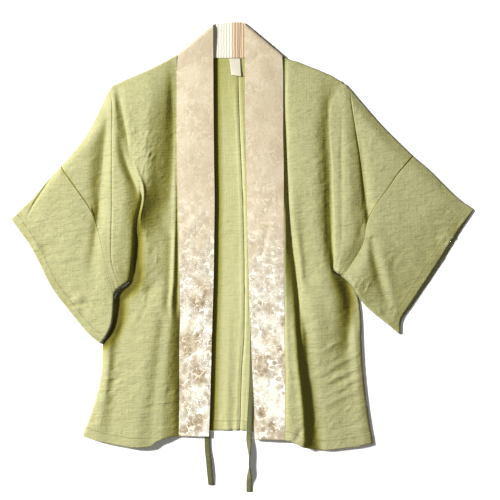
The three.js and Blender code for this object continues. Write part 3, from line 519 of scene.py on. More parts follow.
def crumples(points, patches, seed):
    """The height that patches of short, scattered wrinkles add at each of the points."""
    chance = np.random.default_rng(seed)
    added = np.zeros(points.shape[:2])
    for row in patches:
        patch = dict(zip(CRUMPLE_COLUMNS, row))
        for _ in range(patch["count"]):
            spot = chance.normal(0, WRINKLE_SCATTER, 2) * patch["reach"] + patch["centre"]
            turn = math.radians(patch["turn"] + chance.uniform(-1, 1) * patch["spread"])
            length = patch["length"] * chance.uniform(*WRINKLE_LENGTHS)
            width = patch["width"] * chance.uniform(*WRINKLE_WIDTHS)
            height = patch["height"] * chance.uniform(*WRINKLE_HEIGHTS) * chance.choice(DENT_OR_RIDGE)
            off = points[..., :2] - spot
            near = np.all(np.abs(off) < length, axis=-1)
            run = (off[near] @ [math.cos(turn), math.sin(turn)]) / length
            away = (off[near] @ [-math.sin(turn), math.cos(turn)]) / width
            fade = np.clip(1 - run**2, 0, 1) ** 2
            added[near] += height * fade * np.exp(-((away + WRINKLE_BEND * run**2) ** 2))
    return added


def spread_out(height, steps):
    """Heights on a grid, each evened out with its neighbours a number of times."""
    for _ in range(steps):
        wide = np.pad(height, 1, mode="edge")
        height = (wide[:-2, 1:-1] + wide[2:, 1:-1] + wide[1:-1, :-2] + wide[1:-1, 2:]) / 4
    return height


def painted_fold_shade(points):
    """Shade painted at each point, from 0 to 1: on its side turned from the lamp, or below the cloth around
    it.
    """
    low = (spread_out(points[..., 2], HOLLOW_STEPS) - points[..., 2]) / HOLLOW_DEPTH
    height = spread_out(points[..., 2], SHADE_STEPS)
    x_down, x_over = np.gradient(points[..., 0])
    y_down, y_over = np.gradient(points[..., 1])
    z_down, z_over = np.gradient(height)
    area = x_over * y_down - x_down * y_over
    area = np.where(np.abs(area) < SMALLEST_AREA, np.inf, area)
    slope_x = (z_over * y_down - z_down * y_over) / area
    slope_y = (x_over * z_down - x_down * z_over) / area
    # Shade is painted where the cloth slopes away from the lamp, and where it lies below the cloth around it
    away = slope_x * TOWARDS_LAMP[0] + slope_y * TOWARDS_LAMP[1]
    unlit = np.clip(1 + away / LIT_SLOPE, 0, 1)
    return np.clip(np.maximum(low, 0) * HOLLOW_SHARE * unlit + np.maximum(away, 0) / FULL_SHADE_SLOPE, 0, 1)


def soften(body_grid, sleeve_grid, down_sleeve, softness):
    """Rounds the fold where the body meets the upper sleeve, by a share read at each place down it."""
    count = len(down_sleeve)
    joined = np.concatenate([body_grid[:count, :-1], sleeve_grid], axis=1)
    joint = joined[:, [body_grid.shape[1] - 1]]
    near = np.exp(-((plan_distance(joined, joint) / FOLD_SOFT_REACH) ** 2))
    share = near * np.interp(down_sleeve, np.arange(len(softness)), softness)[:, None]
    smooth = joined[..., 2].copy()
    for _ in range(FOLD_SOFT_STEPS):
        wide = np.pad(smooth, ((0, 0), (1, 1)), mode="edge")
        smooth = (wide[:, :-2] + 2 * wide[:, 1:-1] + wide[:, 2:]) / 4
    joined[..., 2] += share * (smooth - joined[..., 2])
    body_grid[:count, :, 2] = joined[:, : body_grid.shape[1], 2]
    sleeve_grid[..., 2] = joined[:, body_grid.shape[1] - 1:, 2]


def shape_side(body, upper_sleeve, creases, crumple_table, pressed, spacing, seed, fold_softness,
               crease_ends):
    """One front: its body and upper sleeve as grids of points that meet along the armhole fold."""
    columns = columns_of(body)
    armpit = len(upper_sleeve) - 1
    down = evenly(columns, spacing)
    across = evenly(np.swapaxes(columns, 0, 1), spacing)
    body_grid = loft(columns, down, across)
    down_sleeve = down[down <= armpit]
    sleeve_points = np.array([section["points"] for section in upper_sleeve])
    side_edge = loft(columns, down_sleeve, [columns.shape[1] - 1])
    sleeve_columns = np.concatenate([side_edge, along(sleeve_points, down_sleeve)], axis=1)
    across_sleeve = evenly(np.swapaxes(sleeve_columns, 0, 1), spacing, pressed + BESIDE_PRESSED_CREASE)
    sleeve_grid = np.swapaxes(along(np.swapaxes(sleeve_columns, 0, 1), across_sleeve), 0, 1)
    soften(body_grid, sleeve_grid, down_sleeve, fold_softness)
    for grid in (body_grid, sleeve_grid):
        grid[..., 2] += creased(grid, creases)
        grid[..., 2] += crumples(grid, crumple_table, seed)
    press = sleeve_grid[:, [np.argmin(np.abs(across_sleeve - pressed))]]
    fades_in = np.clip(down_sleeve, 0, 1)
    fades_out = np.clip((crease_ends - down_sleeve) / CREASE_FADES, 0, 1)
    depth = PRESSED_CREASE_DEPTH * fades_in * fades_out
    away = plan_distance(sleeve_grid, press) / PRESSED_CREASE_REACH
    sleeve_grid[..., 2] -= depth[:, None] * np.exp(-(away**2))
    # Shade painted into the colour at the folds, found before the edges roll down
    shaded = [painted_fold_shade(body_grid), painted_fold_shade(sleeve_grid)]
    for grid in (body_grid, sleeve_grid):
        roll_down(grid, grid[:1])
    below = down > armpit
    lower = body_grid[below]
    roll_down(lower, lower[:, -1:])
    body_grid[below] = lower
    roll_down(sleeve_grid, sleeve_grid[-1:])
    sleeve_grid[:, 0] = body_grid[: len(down_sleeve), -1]
    for grid in (body_grid, sleeve_grid):
        grid[..., 2] = np.maximum(grid[..., 2], EDGE_LEVEL)
    return dict(body=body_grid, sleeve=sleeve_grid, body_shade=shaded[0], sleeve_shade=shaded[1], down=down,
                down_sleeve=down_sleeve, across=across, across_sleeve=across_sleeve, armpit=armpit)


def grid_piece(name, points, marks):
    """A primitive grid whose points are moved to the rows of points given in millimetres."""
    turn = np.cross(points[0, 1, :2] - points[0, 0, :2], points[1, 0, :2] - points[0, 0, :2])
    if turn < 0:
        points = points[:, ::-1]
        marks = {key: value[:, ::-1] for key, value in marks.items()}
    rows, columns = points.shape[:2]
    bpy.ops.object.select_all(action="DESELECT")
    bpy.ops.mesh.primitive_grid_add(x_subdivisions=columns - 1, y_subdivisions=rows - 1, calc_uvs=True)
    piece = bpy.context.object
    piece.name = name
    mesh = piece.data
    mesh.name = name
    mesh.vertices.foreach_set("co", (points * MM).ravel())
    for key, value in marks.items():
        mark = mesh.attributes.new(key, "FLOAT", "POINT")
        mark.data.foreach_set("value", np.asarray(value, float).ravel())
    mesh.update()
    return piece


def sew(name, pieces, thickness):
    """Joins grids where their points meet, and gives them the thickness of the cloth."""
    bpy.ops.object.select_all(action="DESELECT")
    for piece in pieces:
        piece.select_set(True)
    piece = pieces[0]
    bpy.context.view_layer.objects.active = piece
    if len(pieces) > 1:
        bpy.ops.object.join()
    bpy.ops.object.mode_set(mode="EDIT")
    bpy.ops.mesh.select_all(action="SELECT")
    bpy.ops.mesh.remove_doubles(threshold=SEAM_REACH * MM)
    bpy.ops.object.mode_set(mode="OBJECT")
    piece.name = name
    hem = piece.data.attributes.get("hem")
    solidify = piece.modifiers.new("cloth", "SOLIDIFY")
    solidify.offset = 0
    solidify.thickness = thickness * MM
    if hem:
        turned = np.zeros(len(piece.data.vertices), np.float32)
        hem.data.foreach_get("value", turned)
        group = piece.vertex_groups.new(name="turned_hem")
        group.add([int(k) for k in np.flatnonzero(turned > 0.5)], 1.0, "REPLACE")
        solidify.vertex_group = "turned_hem"
        solidify.thickness_vertex_group = HEM_SHARE
        solidify.thickness = thickness / HEM_SHARE * MM
    bpy.ops.object.modifier_apply(modifier="cloth")
    bpy.ops.object.shade_smooth()
    return piece


LINEN_THREAD = 0.9 * MM
STITCH_LENGTH = 3.6 * MM
STITCH_MIDDLE, STITCH_EDGE = 0.2 * MM, 0.6 * MM
STITCHES_INSIDE_HEM = 1.6
FAR_FROM_HEM = 100


def make_linen(name, light, shade, painted_shade, painted_shadow_colour, crinkled=1.0):
    """Crinkled linen-like cloth: plain weave, slubs, crinkles, stitches, and painted shade and shadows."""
    linen = Finish(name)
    place = linen.add("TexCoord", output="Object")
    x = linen.add("SeparateXYZ", None, {0: place}, output="X")
    y = x.beside("Y")
    thread = 2 * math.pi / LINEN_THREAD
    weave = (x * thread).sine() * (y * thread).sine()
    slub_across = linen.noise(place, (40, 460, 60), detail=2)
    slub_down = linen.noise(place, (460, 40, 60), detail=2)
    crinkle = 1 - abs(linen.noise(place, (62, 230, 90), detail=2, twist=0.8) * 2 - 1)
    cockle = linen.noise(place, (30, 62, 45), detail=2, twist=0.6)
    patch = linen.noise(place, (9, 6, 9), detail=2)
    tone = 0.35 * slub_across + 0.2 * slub_down + 0.25 * patch + 0.2 * crinkle
    body_colour = linen.mix(tone.rise(0.35, 0.7), shade, light)
    # Painted shade: a darker colour where the cloth is marked as shaded, in folds and on slopes turned from
    # the lamp
    shaded = linen.mix(linen.mark("painted_shade"), body_colour, painted_shade)
    dash = ((x + y) * (2 * math.pi / STITCH_LENGTH)).sine().rise(-0.5, -0.1)
    stitch = (1 - abs(linen.mark("off_stitches")).rise(STITCH_MIDDLE, STITCH_EDGE)) * dash
    # Painted shadow: near black where the shade mark is strongest, under the sleeves, beside the band and at
    # seams
    with_painted_shadow = linen.mix(linen.mark("painted_shade").rise(PAINTED_SHADOW_STARTS, DEEPEST_SHADE), shaded, painted_shadow_colour)
    threads = 0.04 * weave + 0.8 * slub_across + 0.4 * slub_down
    height = threads + crinkled * (1.1 * crinkle + 3.4 * cockle) - 0.8 * stitch
    linen.surface(
        # The stitches are drawn in the same dark colour as the painted shade
        base_color=linen.mix(stitch * 0.45, with_painted_shadow, painted_shade),
        roughness=0.72 + 0.12 * crinkle,
        normal=linen.bump(height, 0.7 * MM),
        sheen_weight=0.2,
        sheen_roughness=0.4,
    )
    return linen.material


# The last two colours are the painted shade of the folds and the painted shadow under the sleeves
green_linen = make_linen(
    "green_crinkled_linen",
    light=colour(0.37, 0.365, 0.205),
    shade=colour(0.315, 0.305, 0.155),
    painted_shade=colour(0.235, 0.22, 0.035),
    painted_shadow_colour=colour(0.11, 0.095, 0.006),
)


def front_piece(name, side, under_line):
    """A front with its folds, hem and stitches marked, and a painted shadow along the line under its sleeve.
    """
    body, sleeve = side["body"], side["sleeve"]
    painted_sleeve_shadow = crease(body, under_line, UNDER_SLEEVE_REACH, UNDER_SLEEVE_REACH)
    # The shade painted on the front, with the sleeve's shadow painted along the line under it
    shade = np.clip(side["body_shade"] + painted_sleeve_shadow, 0, DEEPEST_SHADE)
    from_hem = plan_distance(body, body[-1:])
    off_stitches = (from_hem - HEM_WIDTH + STITCHES_INSIDE_HEM) * MM
    body_marks = dict(painted_shade=shade, hem=from_hem < HEM_WIDTH, off_stitches=off_stitches)
    plain = np.zeros(sleeve.shape[:2])
    sleeve_marks = dict(painted_shade=side["sleeve_shade"], hem=plain, off_stitches=plain + FAR_FROM_HEM * MM)
    # Shade painted along the seam to the sleeve
    sleeve_marks["painted_shade"][:, -1] = SEAM_SHADE
    body_part = grid_piece(f"{name}_body", body, body_marks)
    sleeve_part = grid_piece(f"{name}_sleeve", sleeve, sleeve_marks)
    piece = sew(name, [body_part, sleeve_part], CLOTH)
    piece.data.materials.append(green_linen)
    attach(piece, "root")
    return piece


right_side = shape_side(
    RIGHT_BODY, RIGHT_UPPER_SLEEVE, RIGHT_CREASES, RIGHT_CRUMPLES, pressed=3, spacing=FRONT_MESH, seed=11,
    fold_softness=RIGHT_FOLD_SOFTNESS, crease_ends=8)
left_side = shape_side(
    LEFT_BODY, LEFT_UPPER_SLEEVE, LEFT_CREASES, LEFT_CRUMPLES, pressed=4, spacing=FRONT_MESH, seed=12,
    fold_softness=LEFT_FOLD_SOFTNESS, crease_ends=5.6)
front_right = front_piece("front_right_cloth", right_side, UNDER_RIGHT_SLEEVE)
front_left = front_piece("front_left_cloth", left_side, UNDER_LEFT_SLEEVE)
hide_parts("front_right")
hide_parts("front_left")

# Backs, joined by the centre-back seam
# Two flat panels of the same cloth under the fronts. Soft creases hang from the neck seam.
BACK_MESH = 4.6
NECK_MESH = 2.2
NECK_SEAM_Y = 327.8
INTO_NECK_SEAM = 2
CENTRE_SEAM = [
    (-6.6, 327.8), (-6.6, 292), (-4, 209), (1, 94), (3.3, -5), (3.3, -120), (-0.8, -186), (-3.3, -268),
    (-4, -285.4)]
CENTRE_STEPS = 200
RIGHT_BACK_HEM = [(-263, -295), (-220, -292), (-150, -288), (-40, -284.6), (-4, -285.4)]
LEFT_BACK_HEM = [(-4, -285.4), (6, -287), (95, -297), (160, -303), (215, -307)]
BACK_HEM_STARTS = 15
BACK_CREASES = [
    dict(at="under the label", left=1.6, right=1.6, line=[(-15, 240, 0), (-15, 262, 0.9), (-16, 296, 0.8)]),
    dict(at="second", left=1.4, right=1.8, line=[(-11, 225, 0), (-11, 255, 1.1), (-12, 296, 0.9)]),
    dict(at="third", left=1.6, right=1.4, line=[(-19, 250, 0), (-20, 275, 0.7), (-20, 300, 0.5)]),
    dict(at="beside the seam", left=2.5, right=1, line=[
        (-9, -285, 0.8), (-6, -190, 1), (-1, -100, 0.9), (-1, 0, 0.8), (-3, 100, 0.9), (-8, 210, 1),
        (-10, 280, 0.6)]),
    dict(at="other side of the seam", left=1, right=2.5, line=[
        (0, -285, 0.9), (3, -190, 1), (7, -100, 1.1), (7, 0, 1), (5, 100, 1.1), (0, 210, 1), (-3, 290, 0.8)]),
    dict(at="low left fold", left=6, right=5, line=[
        (-26, -285, 1.5), (-24, -220, 1.2), (-22, -140, 0.6), (-20, -60, 0)]),
    dict(at="low right fold", left=4, right=4, line=[
        (8, -270, 1.4), (9, -200, 1.2), (11, -140, 0.5), (12, -90, 0)]),
    dict(at="hem ripple", left=3, right=3, line=[(-22, -286, 1.2), (-22, -268, 0)]),
    dict(at="second hem ripple", left=3, right=3, line=[(-10, -287, 1.2), (-11, -262, 0)]),
]
BACK_CRUMPLES = [
    ("seam", (-4, 0), (16, 280), 90, 25, 90, 10, 1.6, 0.35),
    ("hem", (-20, -262), (20, 25), 90, 20, 20, 8, 1.8, 0.6),
    ("hidden", (-20, 0), (200, 250), 70, 60, 220, 14, 2.6, 0.35),
]


# The fronts' linen painted lighter, as light falling on the back, and less crinkled; its last two colours are
# painted shade and painted shadow
back_linen = make_linen(
    "green_linen_back_painted_lighter",
    light=colour(0.45, 0.445, 0.25),
    shade=colour(0.385, 0.375, 0.19),
    painted_shade=colour(0.235, 0.22, 0.03),
    painted_shadow_colour=colour(0.12, 0.1, 0.006),
    crinkled=0.35,
)

# How dark the back is painted below the neck, as shade, and beside the band, as the band's shadow, and how
# far that reaches in millimetres
NECK_SHADE = 0.5
NECK_SHADE_DEPTH = 150
BAND_SHADE_WIDTH = 16
BAND_SHADE = 1.8


def back_grids(body, upper_sleeve, hem, seed):
    """One back panel's grids: the strip from the collar to the centre, and the front's plan laid flat."""
    side = shape_side(
        body, upper_sleeve, [], [], pressed=3, spacing=BACK_MESH, seed=seed, fold_softness=[0, 0],
        crease_ends=8)
    body_grid, sleeve_grid = side["body"], side["sleeve"]
    low = np.clip((side["down"] - BACK_HEM_STARTS) / (len(body) - 1 - BACK_HEM_STARTS), 0, 1)
    hem_line = np.array(hem)
    shift = np.interp(body_grid[-1, :, 0], hem_line[:, 0], hem_line[:, 1]) - body_grid[-1, :, 1]
    body_grid[..., 1] += low[:, None] * shift
    seam_side = body_grid[:, 0]
    centre_line = along(CENTRE_SEAM, np.linspace(0, len(CENTRE_SEAM) - 1, CENTRE_STEPS))
    centre_y = np.minimum(seam_side[:, 1], NECK_SEAM_Y)
    hem_y = CENTRE_SEAM[-1][1]
    centre_y = hem_y + (centre_y - centre_y[-1]) * (NECK_SEAM_Y - hem_y) / (centre_y[0] - centre_y[-1])
    centre_x = np.interp(-centre_y, -centre_line[:, 1], centre_line[:, 0])
    steps = max(2, round(abs(seam_side[:, 0] - centre_x).max() / NECK_MESH))
    share = np.linspace(0, 1, steps + 1)[None, :, None]
    centre = np.stack([centre_x, centre_y, seam_side[:, 2]], axis=1)[:, None]
    neck_grid = centre + share * (seam_side[:, None] - centre)
    neck_grid[0, :, 1] = np.minimum(neck_grid[0, :, 1], NECK_SEAM_Y + INTO_NECK_SEAM)
    for grid in (body_grid, sleeve_grid, neck_grid):
        grid[..., 2] = BACK_LEVEL + np.maximum(crumples(grid, BACK_CRUMPLES, seed), 0)
        grid[..., 2] += creased(grid, BACK_CREASES)
    sleeve_grid[:, 0] = body_grid[: len(sleeve_grid), -1]
    neck_grid[:, -1] = body_grid[:, 0]
    return neck_grid, body_grid, sleeve_grid


def back_piece(name, body, upper_sleeve, hem, seed):
    """A half back, with shade painted below the neck and the band's shadow painted beside the right band."""
    grids = back_grids(body, upper_sleeve, hem, seed)
    band_edge = np.array([section["free"] for section in RIGHT_BODY])
    pieces = []
    for part, grid in zip(("neck", "body", "sleeve"), grids):
        from_hem = plan_distance(grid, grid[-1:])
        if part == "sleeve":
            from_hem = np.full(grid.shape[:2], FAR_FROM_HEM)
        off_stitches = (from_hem - HEM_WIDTH + STITCHES_INSIDE_HEM) * MM
        # Shade painted below the neck, and the right band's shadow painted on the back beside its free edge
        near_neck = np.clip(1 - (NECK_SEAM_Y - grid[..., 1]) / NECK_SHADE_DEPTH, 0, 1)
        edge_x = np.interp(-grid[..., 1], -band_edge[:, 1], band_edge[:, 0])
        off_band = (grid[..., 0] - edge_x) / BAND_SHADE_WIDTH
        painted_band_shadow = np.where(off_band > -1, np.clip(1 - off_band, 0, 1), 0) * BAND_SHADE
        painted_shade = np.maximum(NECK_SHADE * near_neck, painted_band_shadow)
        marks = dict(painted_shade=painted_shade, hem=from_hem < HEM_WIDTH, off_stitches=off_stitches)
        pieces.append(grid_piece(f"{name}_{part}", grid, marks))
    piece = sew(name, pieces, CLOTH)
    piece.data.materials.append(back_linen)
    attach(piece, "root")
    return piece


back_right = back_piece("back_right_cloth", RIGHT_BODY, RIGHT_UPPER_SLEEVE, RIGHT_BACK_HEM, seed=21)
back_left = back_piece("back_left_cloth", LEFT_BODY, LEFT_UPPER_SLEEVE, LEFT_BACK_HEM, seed=22)
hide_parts("back_right")
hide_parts("back_left")

# Sleeves, from the seam at mid upper arm to the cuff
# Each is a flattened tube of the same cloth, folded along its top, with a turned and stitched cuff.
SLEEVE_MESH = 2.2
CUFF_HEM = 15

# The lower layer starts this far from the top fold and from the underarm, counted in sections of the
# sleeve's seam, and it comes out past the upper one mostly at the cuff
BACK_FROM_TOP = 0.15
BACK_FROM_UNDERARM = 0.04
CUFF_OUT_POWER = 6

# Plans of the sleeve's edges, in millimetres. Each row of heights runs from the top fold to the underarm,
# and the rows go from the seam to the cuff.
RIGHT_SLEEVE = dict(
    top=[(-299, 149), (-318, 129), (-342, 101), (-359, 84), (-381, 62)],
    underside=[(-211, -65), (-211.5, -79), (-214, -110), (-222, -129), (-232, -143)],
    cuff=[(-381, 62), (-367, 43), (-351, 21), (-334, -10), (-318, -43), (-301, -68), (-268, -109),
          (-252, -127), (-232, -143)],
    heights=[
        [3, 7.5, 9, 10, 10, 10, 10.5, 12, 11.5],
        [2.8, 7, 8.5, 9.5, 10, 9.5, 9.5, 11.5, 12],
        [2.6, 6, 7.5, 8, 8.5, 8.5, 9, 10.5, 12],
        [2, 4, 4.5, 5, 5.5, 6, 7, 8.5, 9],
    ],
    back_cuff_out=1,
    seam_drop=0,
)
LEFT_SLEEVE = dict(
    top=[(281, 166), (309, 142), (342, 109), (359, 94), (381, 78)],
    underside=[(164, -33), (176, -43), (189, -63), (210, -87), (260, -127)],
    cuff=[(381, 78), (370, 64), (356, 45), (339, 19), (323, -7), (302, -39), (278, -76), (261, -103),
          (260, -127)],
    heights=[
        [3, 6, 6.5, 7, 7.5, 7.5, 6.5, 8, 9.5],
        [2.8, 6, 7, 7.5, 8, 8.5, 10.5, 12, 12],
        [2.6, 5.5, 6.5, 7, 7.5, 8, 8.5, 8.5, 8],
        [2, 3, 3.5, 4, 4, 4.5, 4, 3.5, 3],
    ],
    back_cuff_out=6,
    seam_drop=0.4,
)
RIGHT_SLEEVE_CREASES = [
    dict(at="broad valley of the sleeve", left=7, right=9, line=[
        (-254, -38, 0), (-245, 12, -1.6), (-238, 61, -2.6), (-233, 111, -2.8), (-228, 160, -2.8)]),
    dict(at="along the top", left=1.6, right=2.2, line=[
        (-356, 63, 0), (-346, 84, -1.5), (-329, 111, -1.8), (-313, 134, -1.5), (-301, 148, 0)]),
    dict(at="cuff fold", left=5, right=3, line=[(-370, 51, 0), (-342, 35, 1.5), (-309, 28, 0)]),
    dict(at="low cuff fold", left=5, right=3, line=[(-354, 23, 0), (-331, 12, 1.2), (-301, 8, 0)]),
    dict(at="seam dimple", left=4, right=4, line=[(-298, 147, 0), (-293, 137, -1.5), (-285, 124, 0)]),
]
LEFT_SLEEVE_CREASES = [
    dict(at="long fold", left=7, right=9, line=[
        (240, -97, 0), (233, -63, -1.6), (223, -30, -2.6), (216, 2, -2.6), (212, 28, -2.6)]),
    dict(at="ridge beside it", left=8, right=8, line=[
        (255, -112, 0), (247, -71, 1), (237, -21, 1.5), (224, 20, 0)]),
    dict(at="tip fold", left=3, right=3, line=[(230, -120, 0), (243, -107, 1.5), (255, -101, 0)]),
]
RIGHT_SLEEVE_CRUMPLES = [
    ("elbow", (-268, -71), (26, 33), -15, 35, 60, 10, 2, 1),
    ("cuff", (-331, 28), (36, 33), -10, 30, 35, 14, 2.6, 0.8),
    ("plane", (-309, 69), (58, 66), 0, 40, 80, 10, 2, 0.4),
]
LEFT_SLEEVE_CRUMPLES = [
    ("seam", (189, -51), (15, 21), 40, 40, 40, 7, 1.7, 0.9),
    ("tip", (235, -96), (20, 23), 70, 35, 30, 8, 2, 0.9),
    ("cuff", (337, 36), (28, 43), 20, 40, 50, 10, 2, 0.8),
    ("plane", (268, -5), (50, 74), 10, 50, 90, 9, 1.8, 0.5),
]


def sleeve_tube(side, sleeve, creases, crumple_table, seed):
    """Rings round a sleeve from its seam to its cuff, front layer first, and the shade painted at each point.
    """
    seam = side["sleeve"][:, -1, :2]
    places = side["down_sleeve"]
    stations = len(sleeve["cuff"]) - 1
    top_line, under_line = np.array(sleeve["top"]), np.array(sleeve["underside"])
    length = np.linalg.norm(np.diff(top_line, axis=0), axis=1).sum()
    out = np.linspace(0, 1, round(length / SLEEVE_MESH) + 1)
    top = along(top_line, out * (len(top_line) - 1))[:, None]
    under = along(under_line, out * (len(under_line) - 1))[:, None]
    cuff = along(sleeve["cuff"], places)
    s, share = out[:, None, None], (places / stations)[None, :, None]
    plan = (1 - s) * seam + s * cuff
    plan = plan + (1 - share) * (top - (1 - s) * seam[0] - s * cuff[0])
    plan = plan + share * (under - (1 - s) * seam[-1] - s * cuff[-1])
    heights = np.array(sleeve["heights"], float)
    z = along(np.swapaxes(along(heights.T, places), 0, 1), out * (len(heights) - 1))
    front = np.concatenate([plan, z[..., None]], axis=2)
    front[0, :, 2] -= sleeve["seam_drop"]
    front[..., 2] += creased(front, creases)
    front[..., 2] += crumples(front, crumple_table, seed)
    # Shade painted into the colour at the folds of the upper layer
    shade = painted_fold_shade(front)
    roll_down(front, front[:, :1])
    roll_down(front, front[:, -1:])
    kept = (places > BACK_FROM_TOP) & (places < stations - BACK_FROM_UNDERARM)
    back = front[:, kept].copy()
    ahead = plan[-1, kept] - plan[-4, kept]
    ahead /= np.linalg.norm(ahead, axis=1)[:, None]
    bulge = sleeve["back_cuff_out"] * np.sin(np.pi * places[kept] / stations)
    back[..., :2] += (out**CUFF_OUT_POWER)[:, None, None] * (bulge[:, None] * ahead)
    back[..., 2] = BACK_LEVEL + np.maximum(crumples(back, crumple_table, seed + 1), 0)
    shade = np.concatenate([shade, np.zeros(back.shape[:2]), shade[:, :1]], axis=1)
    return np.concatenate([front, back[:, ::-1], front[:, :1]], axis=1), shade


def sleeve_piece(name, side, sleeve, creases, crumple_table, seed):
    """A sleeve with its folds, cuff hem and stitches marked, and a painted shadow along its seam."""
    tube, shade = sleeve_tube(side, sleeve, creases, crumple_table, seed)
    from_cuff = plan_distance(tube, tube[-1:])
    off_stitches = (from_cuff - CUFF_HEM + STITCHES_INSIDE_HEM) * MM
    marks = dict(painted_shade=shade, hem=from_cuff < CUFF_HEM, off_stitches=off_stitches)
    # Shade painted along the seam
    marks["painted_shade"][0] = SEAM_SHADE
    piece = sew(name, [grid_piece(name, tube, marks)], CLOTH)
    piece.data.materials.append(green_linen)
    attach(piece, "root")
    return piece


sleeve_right = sleeve_piece(
    "sleeve_right_cloth", right_side, RIGHT_SLEEVE, RIGHT_SLEEVE_CREASES, RIGHT_SLEEVE_CRUMPLES, seed=31)
sleeve_left = sleeve_piece(
    "sleeve_left_cloth", left_side, LEFT_SLEEVE, LEFT_SLEEVE_CREASES, LEFT_SLEEVE_CRUMPLES, seed=32)
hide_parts("sleeve_right")
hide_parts("sleeve_left")

# Collar band, in two halves that meet at the centre back
# Doubled satin with a small woven pattern of blossoms and leaves, sewn up each front and over the
# shoulders, where it folds back on itself round the neck. It shines most in patches towards the hem,
# where a highlight is also painted into its colour as paler patches.
BAND_CLOTH = 1.9
BAND_MESH = 1.9
BAND_CROWN = 0.8
BAND_FOLD = 0.3
BAND_GAP = 0.1

# Where the front part of the band ends in its body's table, and where its inside comes up in the turn's
BAND_STARTS = 0.3
TURN_BEGINS = 1.2
RIGHT_TURN = [
    dict(at="front of fold", seam=[-106.5, 330.5, 6.6], free=[-48, 376, 7]),
    dict(at="fold", seam=[-105.5, 333.2, 4.1], free=[-47.2, 382.4, 4.1]),
    dict(at="back of fold", seam=[-103, 329.6, 1.2], free=[-43, 384, 1.2]),
    dict(at="side neck", seam=[-70, 328.6, 1.2], free=[-28, 386.5, 1.2]),
    dict(at="near centre", seam=[-34, 328.4, 1.2], free=[-14, 387, 1.2]),
    dict(at="centre back", seam=[-4.2, 328.4, 1.2], free=[-4.2, 387, 1.2]),
]
LEFT_TURN = [
    dict(at="front of fold", seam=[65.5, 328.8, 6.4], free=[3.9, 377, 6.6]),
    dict(at="fold", seam=[64.5, 331.5, 4.1], free=[3.2, 384.3, 4.1]),
    dict(at="back of fold", seam=[61.5, 328.8, 1.2], free=[0.8, 386, 1.2]),
    dict(at="side neck", seam=[40, 328.5, 1.2], free=[-0.4, 386.8, 1.2]),
    dict(at="near centre", seam=[18, 328.4, 1.2], free=[-2, 387, 1.2]),
    dict(at="centre back", seam=[-3.9, 328.4, 1.2], free=[-3.9, 387, 1.2]),
]
BAND_CREASES = [
    dict(at="soft slanting crease", left=5, right=5, line=[
        (22, -30, 0), (34, 5, -0.9), (40, 40, -0.7), (46, 70, 0)]),
    dict(at="left band ripple", left=6, right=6, line=[(-100, 20, 0), (-80, 60, 0.7), (-58, 90, 0)]),
    dict(at="shoulder ripple", left=6, right=6, line=[(10, 320, 0), (30, 335, -0.6), (52, 338, 0)]),
]

# The woven pattern's figures, in millimetres: each layer scatters its own on cells of one size. Leaves lie
# under the large blossoms, and small blossoms under both.
BLOSSOMS = dict(cell=19, size=8.4)
SMALL_BLOSSOMS = dict(cell=12, size=4.4)
LEAVES = dict(cell=10, length=6.6, width=2.6)
PETALS = 5
PETAL_DEPTH = 0.3
SIZE_VARIES = 0.3
INNER_RIM = 0.62
DRAWN_LINE = 0.75

# In metres: how far up from the hem the pattern and the painted highlight are clear, as light shows them,
# and from where they are faint, the spacing of the satin's threads and of the ribs inside the neck, and
# where those ribs change from pale to brown
PATTERN_CLEAR_BELOW, PATTERN_FAINT_ABOVE = 0.18, 0.42
SATIN_THREAD = 0.5 * MM
NECK_RIB = 4.6 * MM
PALE_RIBS_END, BROWN_RIBS_START = -20 * MM, -13 * MM


def band_grid(side, body, turn):
    """Rows across the band, from the hem up the front, over the fold and round to the centre back."""
    places = side["down"][::-1]
    places = places[places >= BAND_STARTS]
    seam = along(columns_of(body)[:, 0], places)
    free = along([section["free"] for section in body], places)
    ends_seam = np.concatenate([seam[-1:], [row["seam"] for row in turn]])
    ends_free = np.concatenate([free[-1:], [row["free"] for row in turn]])
    steps = evenly(np.stack([ends_seam, ends_free], axis=1), BAND_MESH)[1:]
    front_steps = evenly(np.stack([seam, free], axis=1), BAND_MESH)
    seam, free = along(seam, front_steps), along(free, front_steps)
    turned = np.concatenate([np.zeros(len(seam)), np.clip(steps - TURN_BEGINS, 0, 1)])
    seam = np.concatenate([seam, along(ends_seam, steps)])
    free = np.concatenate([free, along(ends_free, steps)])
    width = np.linalg.norm(free - seam, axis=1).max()
    share = np.linspace(0, 1, round(width / BAND_MESH) + 1)
    share = np.sort([*share, BAND_FOLD / width, 1 - BAND_FOLD / width])[None, :, None]
    grid = seam[:, None] + share * (free - seam)[:, None]
    across = share[..., 0] * np.linalg.norm(free - seam, axis=1)[:, None]
    middle = (seam + free) / 2
    lengthwise = np.concatenate([[0], np.cumsum(np.linalg.norm(np.diff(middle, axis=0), axis=1))])
    lengthwise = np.repeat(lengthwise[:, None], grid.shape[1], axis=1)
    grid[..., 2] += BAND_CROWN * 4 * share[..., 0] * (1 - share[..., 0]) * (1 - turned[:, None])
    grid[..., 2] += creased(grid, BAND_CREASES) * (turned[:, None] == 0)
    grid[..., 2] = np.maximum(grid[..., 2], BAND_CLOTH / 2 + BAND_GAP)
    return grid, across, lengthwise, np.repeat(turned[:, None], grid.shape[1], axis=1)


